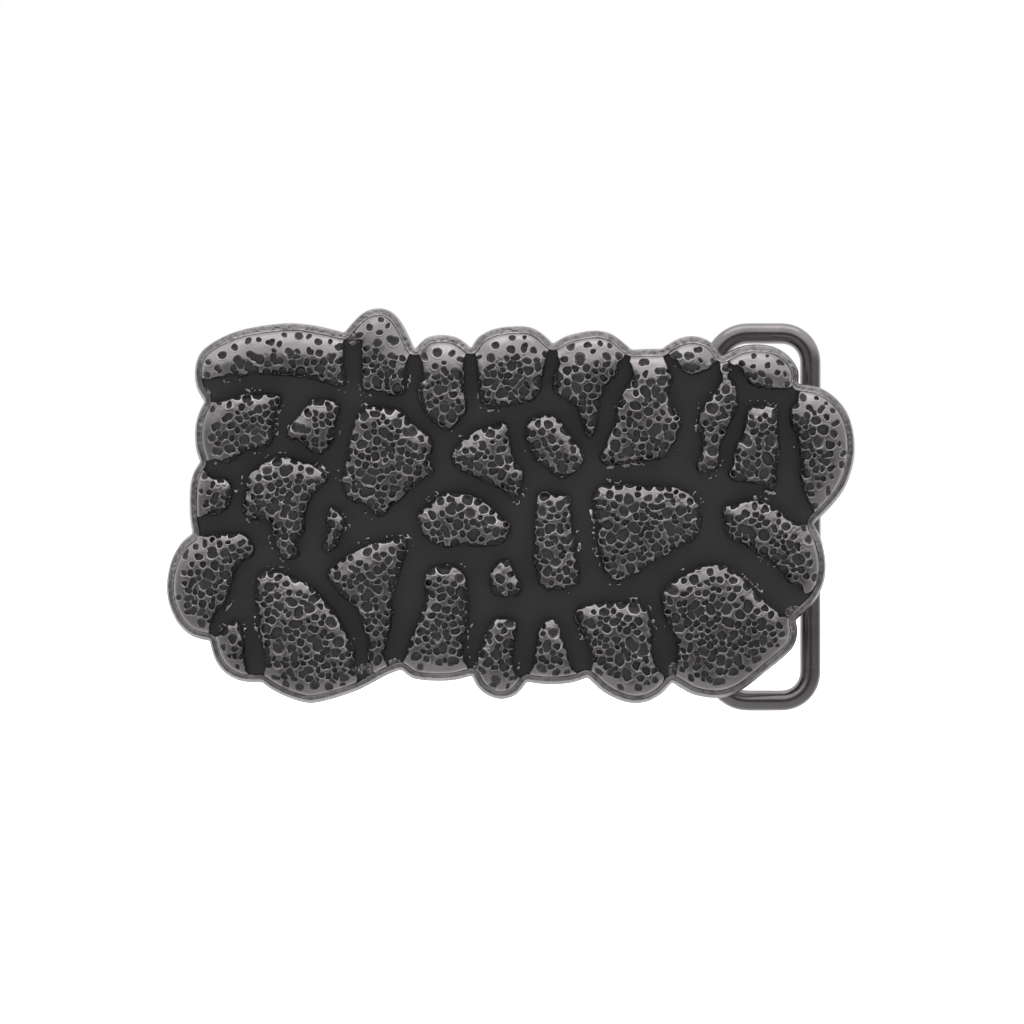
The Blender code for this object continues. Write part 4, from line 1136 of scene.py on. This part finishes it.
def enamel_look():
    n = Look("black_enamel_matte")
    cloud = n.noise(160.0, 3.0, 0.5)
    color = n.mix(n.ramp(cloud, 0.3, 0.7), (0.025, 0.0255, 0.0253, 1), (0.0295, 0.03, 0.0298, 1))
    n.bump(n.noise(1800.0, 4.0, 0.6), 0.12, 0.03)
    n.shader.inputs["Specular IOR Level"].default_value = 0.18
    return n.set(color=color, roughness=n.ramp(cloud, 0.3, 0.7, 0.74, 0.86), metallic=0.0)


def wire_look():
    """Drawn wire: polished, with faint lines along it and cloudy wear."""
    n = Look("gunmetal_wire_polished")
    cloud = n.noise(260.0, 4.0, 0.6)
    fine = n.noise(3200.0, 3.0, 0.6)
    color = n.mix(n.ramp(cloud, 0.35, 0.7), (0.25, 0.236, 0.246, 1), (0.31, 0.294, 0.305, 1))
    n.bump(n.math("ADD", n.noise(500.0, 3.0), n.math("MULTIPLY", fine, 0.25)), 0.06, 0.05)
    return n.set(color=color, roughness=n.ramp(fine, 0.3, 0.75, 0.14, 0.24), metallic=1.0)


def strap_look():
    n = Look("gunmetal_strap_satin")
    cloud = n.noise(200.0, 4.0, 0.6)
    lines = n.noise(900.0, 4.0, 0.7, stretch=(0.25, 1.0, 3.0))
    color = n.mix(n.ramp(cloud, 0.35, 0.7), (0.27, 0.255, 0.265, 1), (0.35, 0.332, 0.343, 1))
    n.bump(lines, 0.12, 0.04)
    return n.set(color=color, roughness=n.ramp(lines, 0.3, 0.7, 0.26, 0.42), metallic=1.0)


# ---- the studio


def floor(low_z):
    look = Look("studio_floor")
    look.bump(look.noise(60.0, 3.0), 0.03, 0.2)
    made = mesh_object(
        "studio_floor",
        [(x, y, low_z - 0.0002) for x, y in ((-3, -3), (3, -3), (3, 3), (-3, 3))],
        [(0, 1, 2, 3)],
        look.set(color=(0.93, 0.93, 0.93, 1), roughness=0.9, metallic=0.0),
    )
    look.shader.inputs["Emission Color"].default_value = (1.0, 1.0, 1.0, 1)
    look.shader.inputs["Emission Strength"].default_value = 0.9
    made.visible_glossy = False


def overhead_light():
    data = bpy.data.lights.new("overhead_softbox", "AREA")
    data.shape = "RECTANGLE"
    data.size, data.size_y = 0.9, 0.5
    data.energy = 1.0
    made = bpy.data.objects.new("overhead_softbox", data)
    made.location = (0.0, -0.12, 0.75)
    made.rotation_euler = (-made.location).to_track_quat("-Z", "Y").to_euler()
    bpy.context.scene.collection.objects.link(made)


def surroundings():
    """A white room behind the buckle, bright above it and dim in front of it and below."""
    world = bpy.data.worlds.new("studio")
    bpy.context.scene.world = world
    world.use_nodes = True
    world.node_tree.nodes.clear()
    n = Nodes(world.node_tree)
    way = n.add("ShaderNodeTexCoord").outputs["Generated"]
    parts = n.add("ShaderNodeSeparateXYZ", {"Vector": way}).outputs
    rise = n.add("ShaderNodeMapRange", {"Value": parts["Z"], "From Min": -1.0}).outputs["Result"]
    light = n.add("ShaderNodeValToRGB", {"Fac": rise})
    stops = light.color_ramp.elements
    while len(stops) < len(ROOM_LIGHT):
        stops.new(0.5)
    for stop, (at, value) in zip(stops, ROOM_LIGHT):
        stop.position = at
        stop.color = (value, value * 0.995, value, 1)
    room = n.mix(n.ramp(parts["Y"], 0.1, 0.6), light.outputs["Color"], BACK_WALL)
    inputs = {0: room, "Scale": n.ramp(parts["Y"], -0.99, -0.93, 0.45, 1.0)}
    dimmed = n.add("ShaderNodeVectorMath", inputs, operation="SCALE").outputs["Vector"]
    seen = n.add("ShaderNodeLightPath").outputs["Is Camera Ray"]
    sky = n.add("ShaderNodeBackground", {"Color": n.mix(seen, dimmed, (1.0, 1.0, 1.0, 1))})
    n.add("ShaderNodeOutputWorld", {"Surface": sky.outputs["Background"]})


def camera(low, high):
    data = bpy.data.cameras.new("camera")
    data.sensor_width = SENSOR_MM
    data.lens = SENSOR_MM * CAMERA_DISTANCE_MM / FRAME_WIDTH_MM
    data.clip_start = 0.01
    data.clip_end = 20.0
    made = bpy.data.objects.new("camera", data)
    x = 0.5 * (low[0] + high[0]) + AIM_X_MM * MM
    z = 0.5 * (low[2] + high[2]) + AIM_Z_MM * MM
    made.location = (x, (FLANGE_FACE_Y - CAMERA_DISTANCE_MM) * MM, z)
    made.rotation_euler = (math.radians(90), 0.0, 0.0)
    bpy.context.scene.collection.objects.link(made)
    bpy.context.scene.camera = made


def studio(low, high):
    bpy.context.scene.view_settings.view_transform = "Standard"
    floor(low[2])
    surroundings()
    overhead_light()
    camera(low, high)


# ---- the buckle


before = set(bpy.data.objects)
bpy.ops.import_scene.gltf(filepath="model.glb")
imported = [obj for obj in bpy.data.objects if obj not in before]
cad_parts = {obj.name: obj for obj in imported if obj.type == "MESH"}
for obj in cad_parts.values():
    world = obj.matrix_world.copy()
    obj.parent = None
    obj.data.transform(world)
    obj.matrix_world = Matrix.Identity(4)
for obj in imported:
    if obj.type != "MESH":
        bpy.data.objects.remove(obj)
cad_low, cad_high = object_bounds()
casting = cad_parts["face_casting"]
edge = edge_outline(casting)
outlines = stone_outlines(casting)
coarse_edge = edge[::4]

stone_material = stone_look()
plate(edge, outlines, plate_look())
for number, outline in enumerate(outlines):
    stone(number, outline, coarse_edge, stone_material)
for number, spot in enumerate(ROUGH_SPOTS):
    rough_spot(number, spot, coarse_edge, stone_material)
enamel(edge, enamel_look())
wire = wire_look()
strap = strap_look()
belt_loop(wire)
hinge_strap(strap)
rivet("upper", RIVET_Z, strap)
rivet("lower", -RIVET_Z, strap)
hook_base(strap)
hook_pin(wire)
studio(cad_low, cad_high)
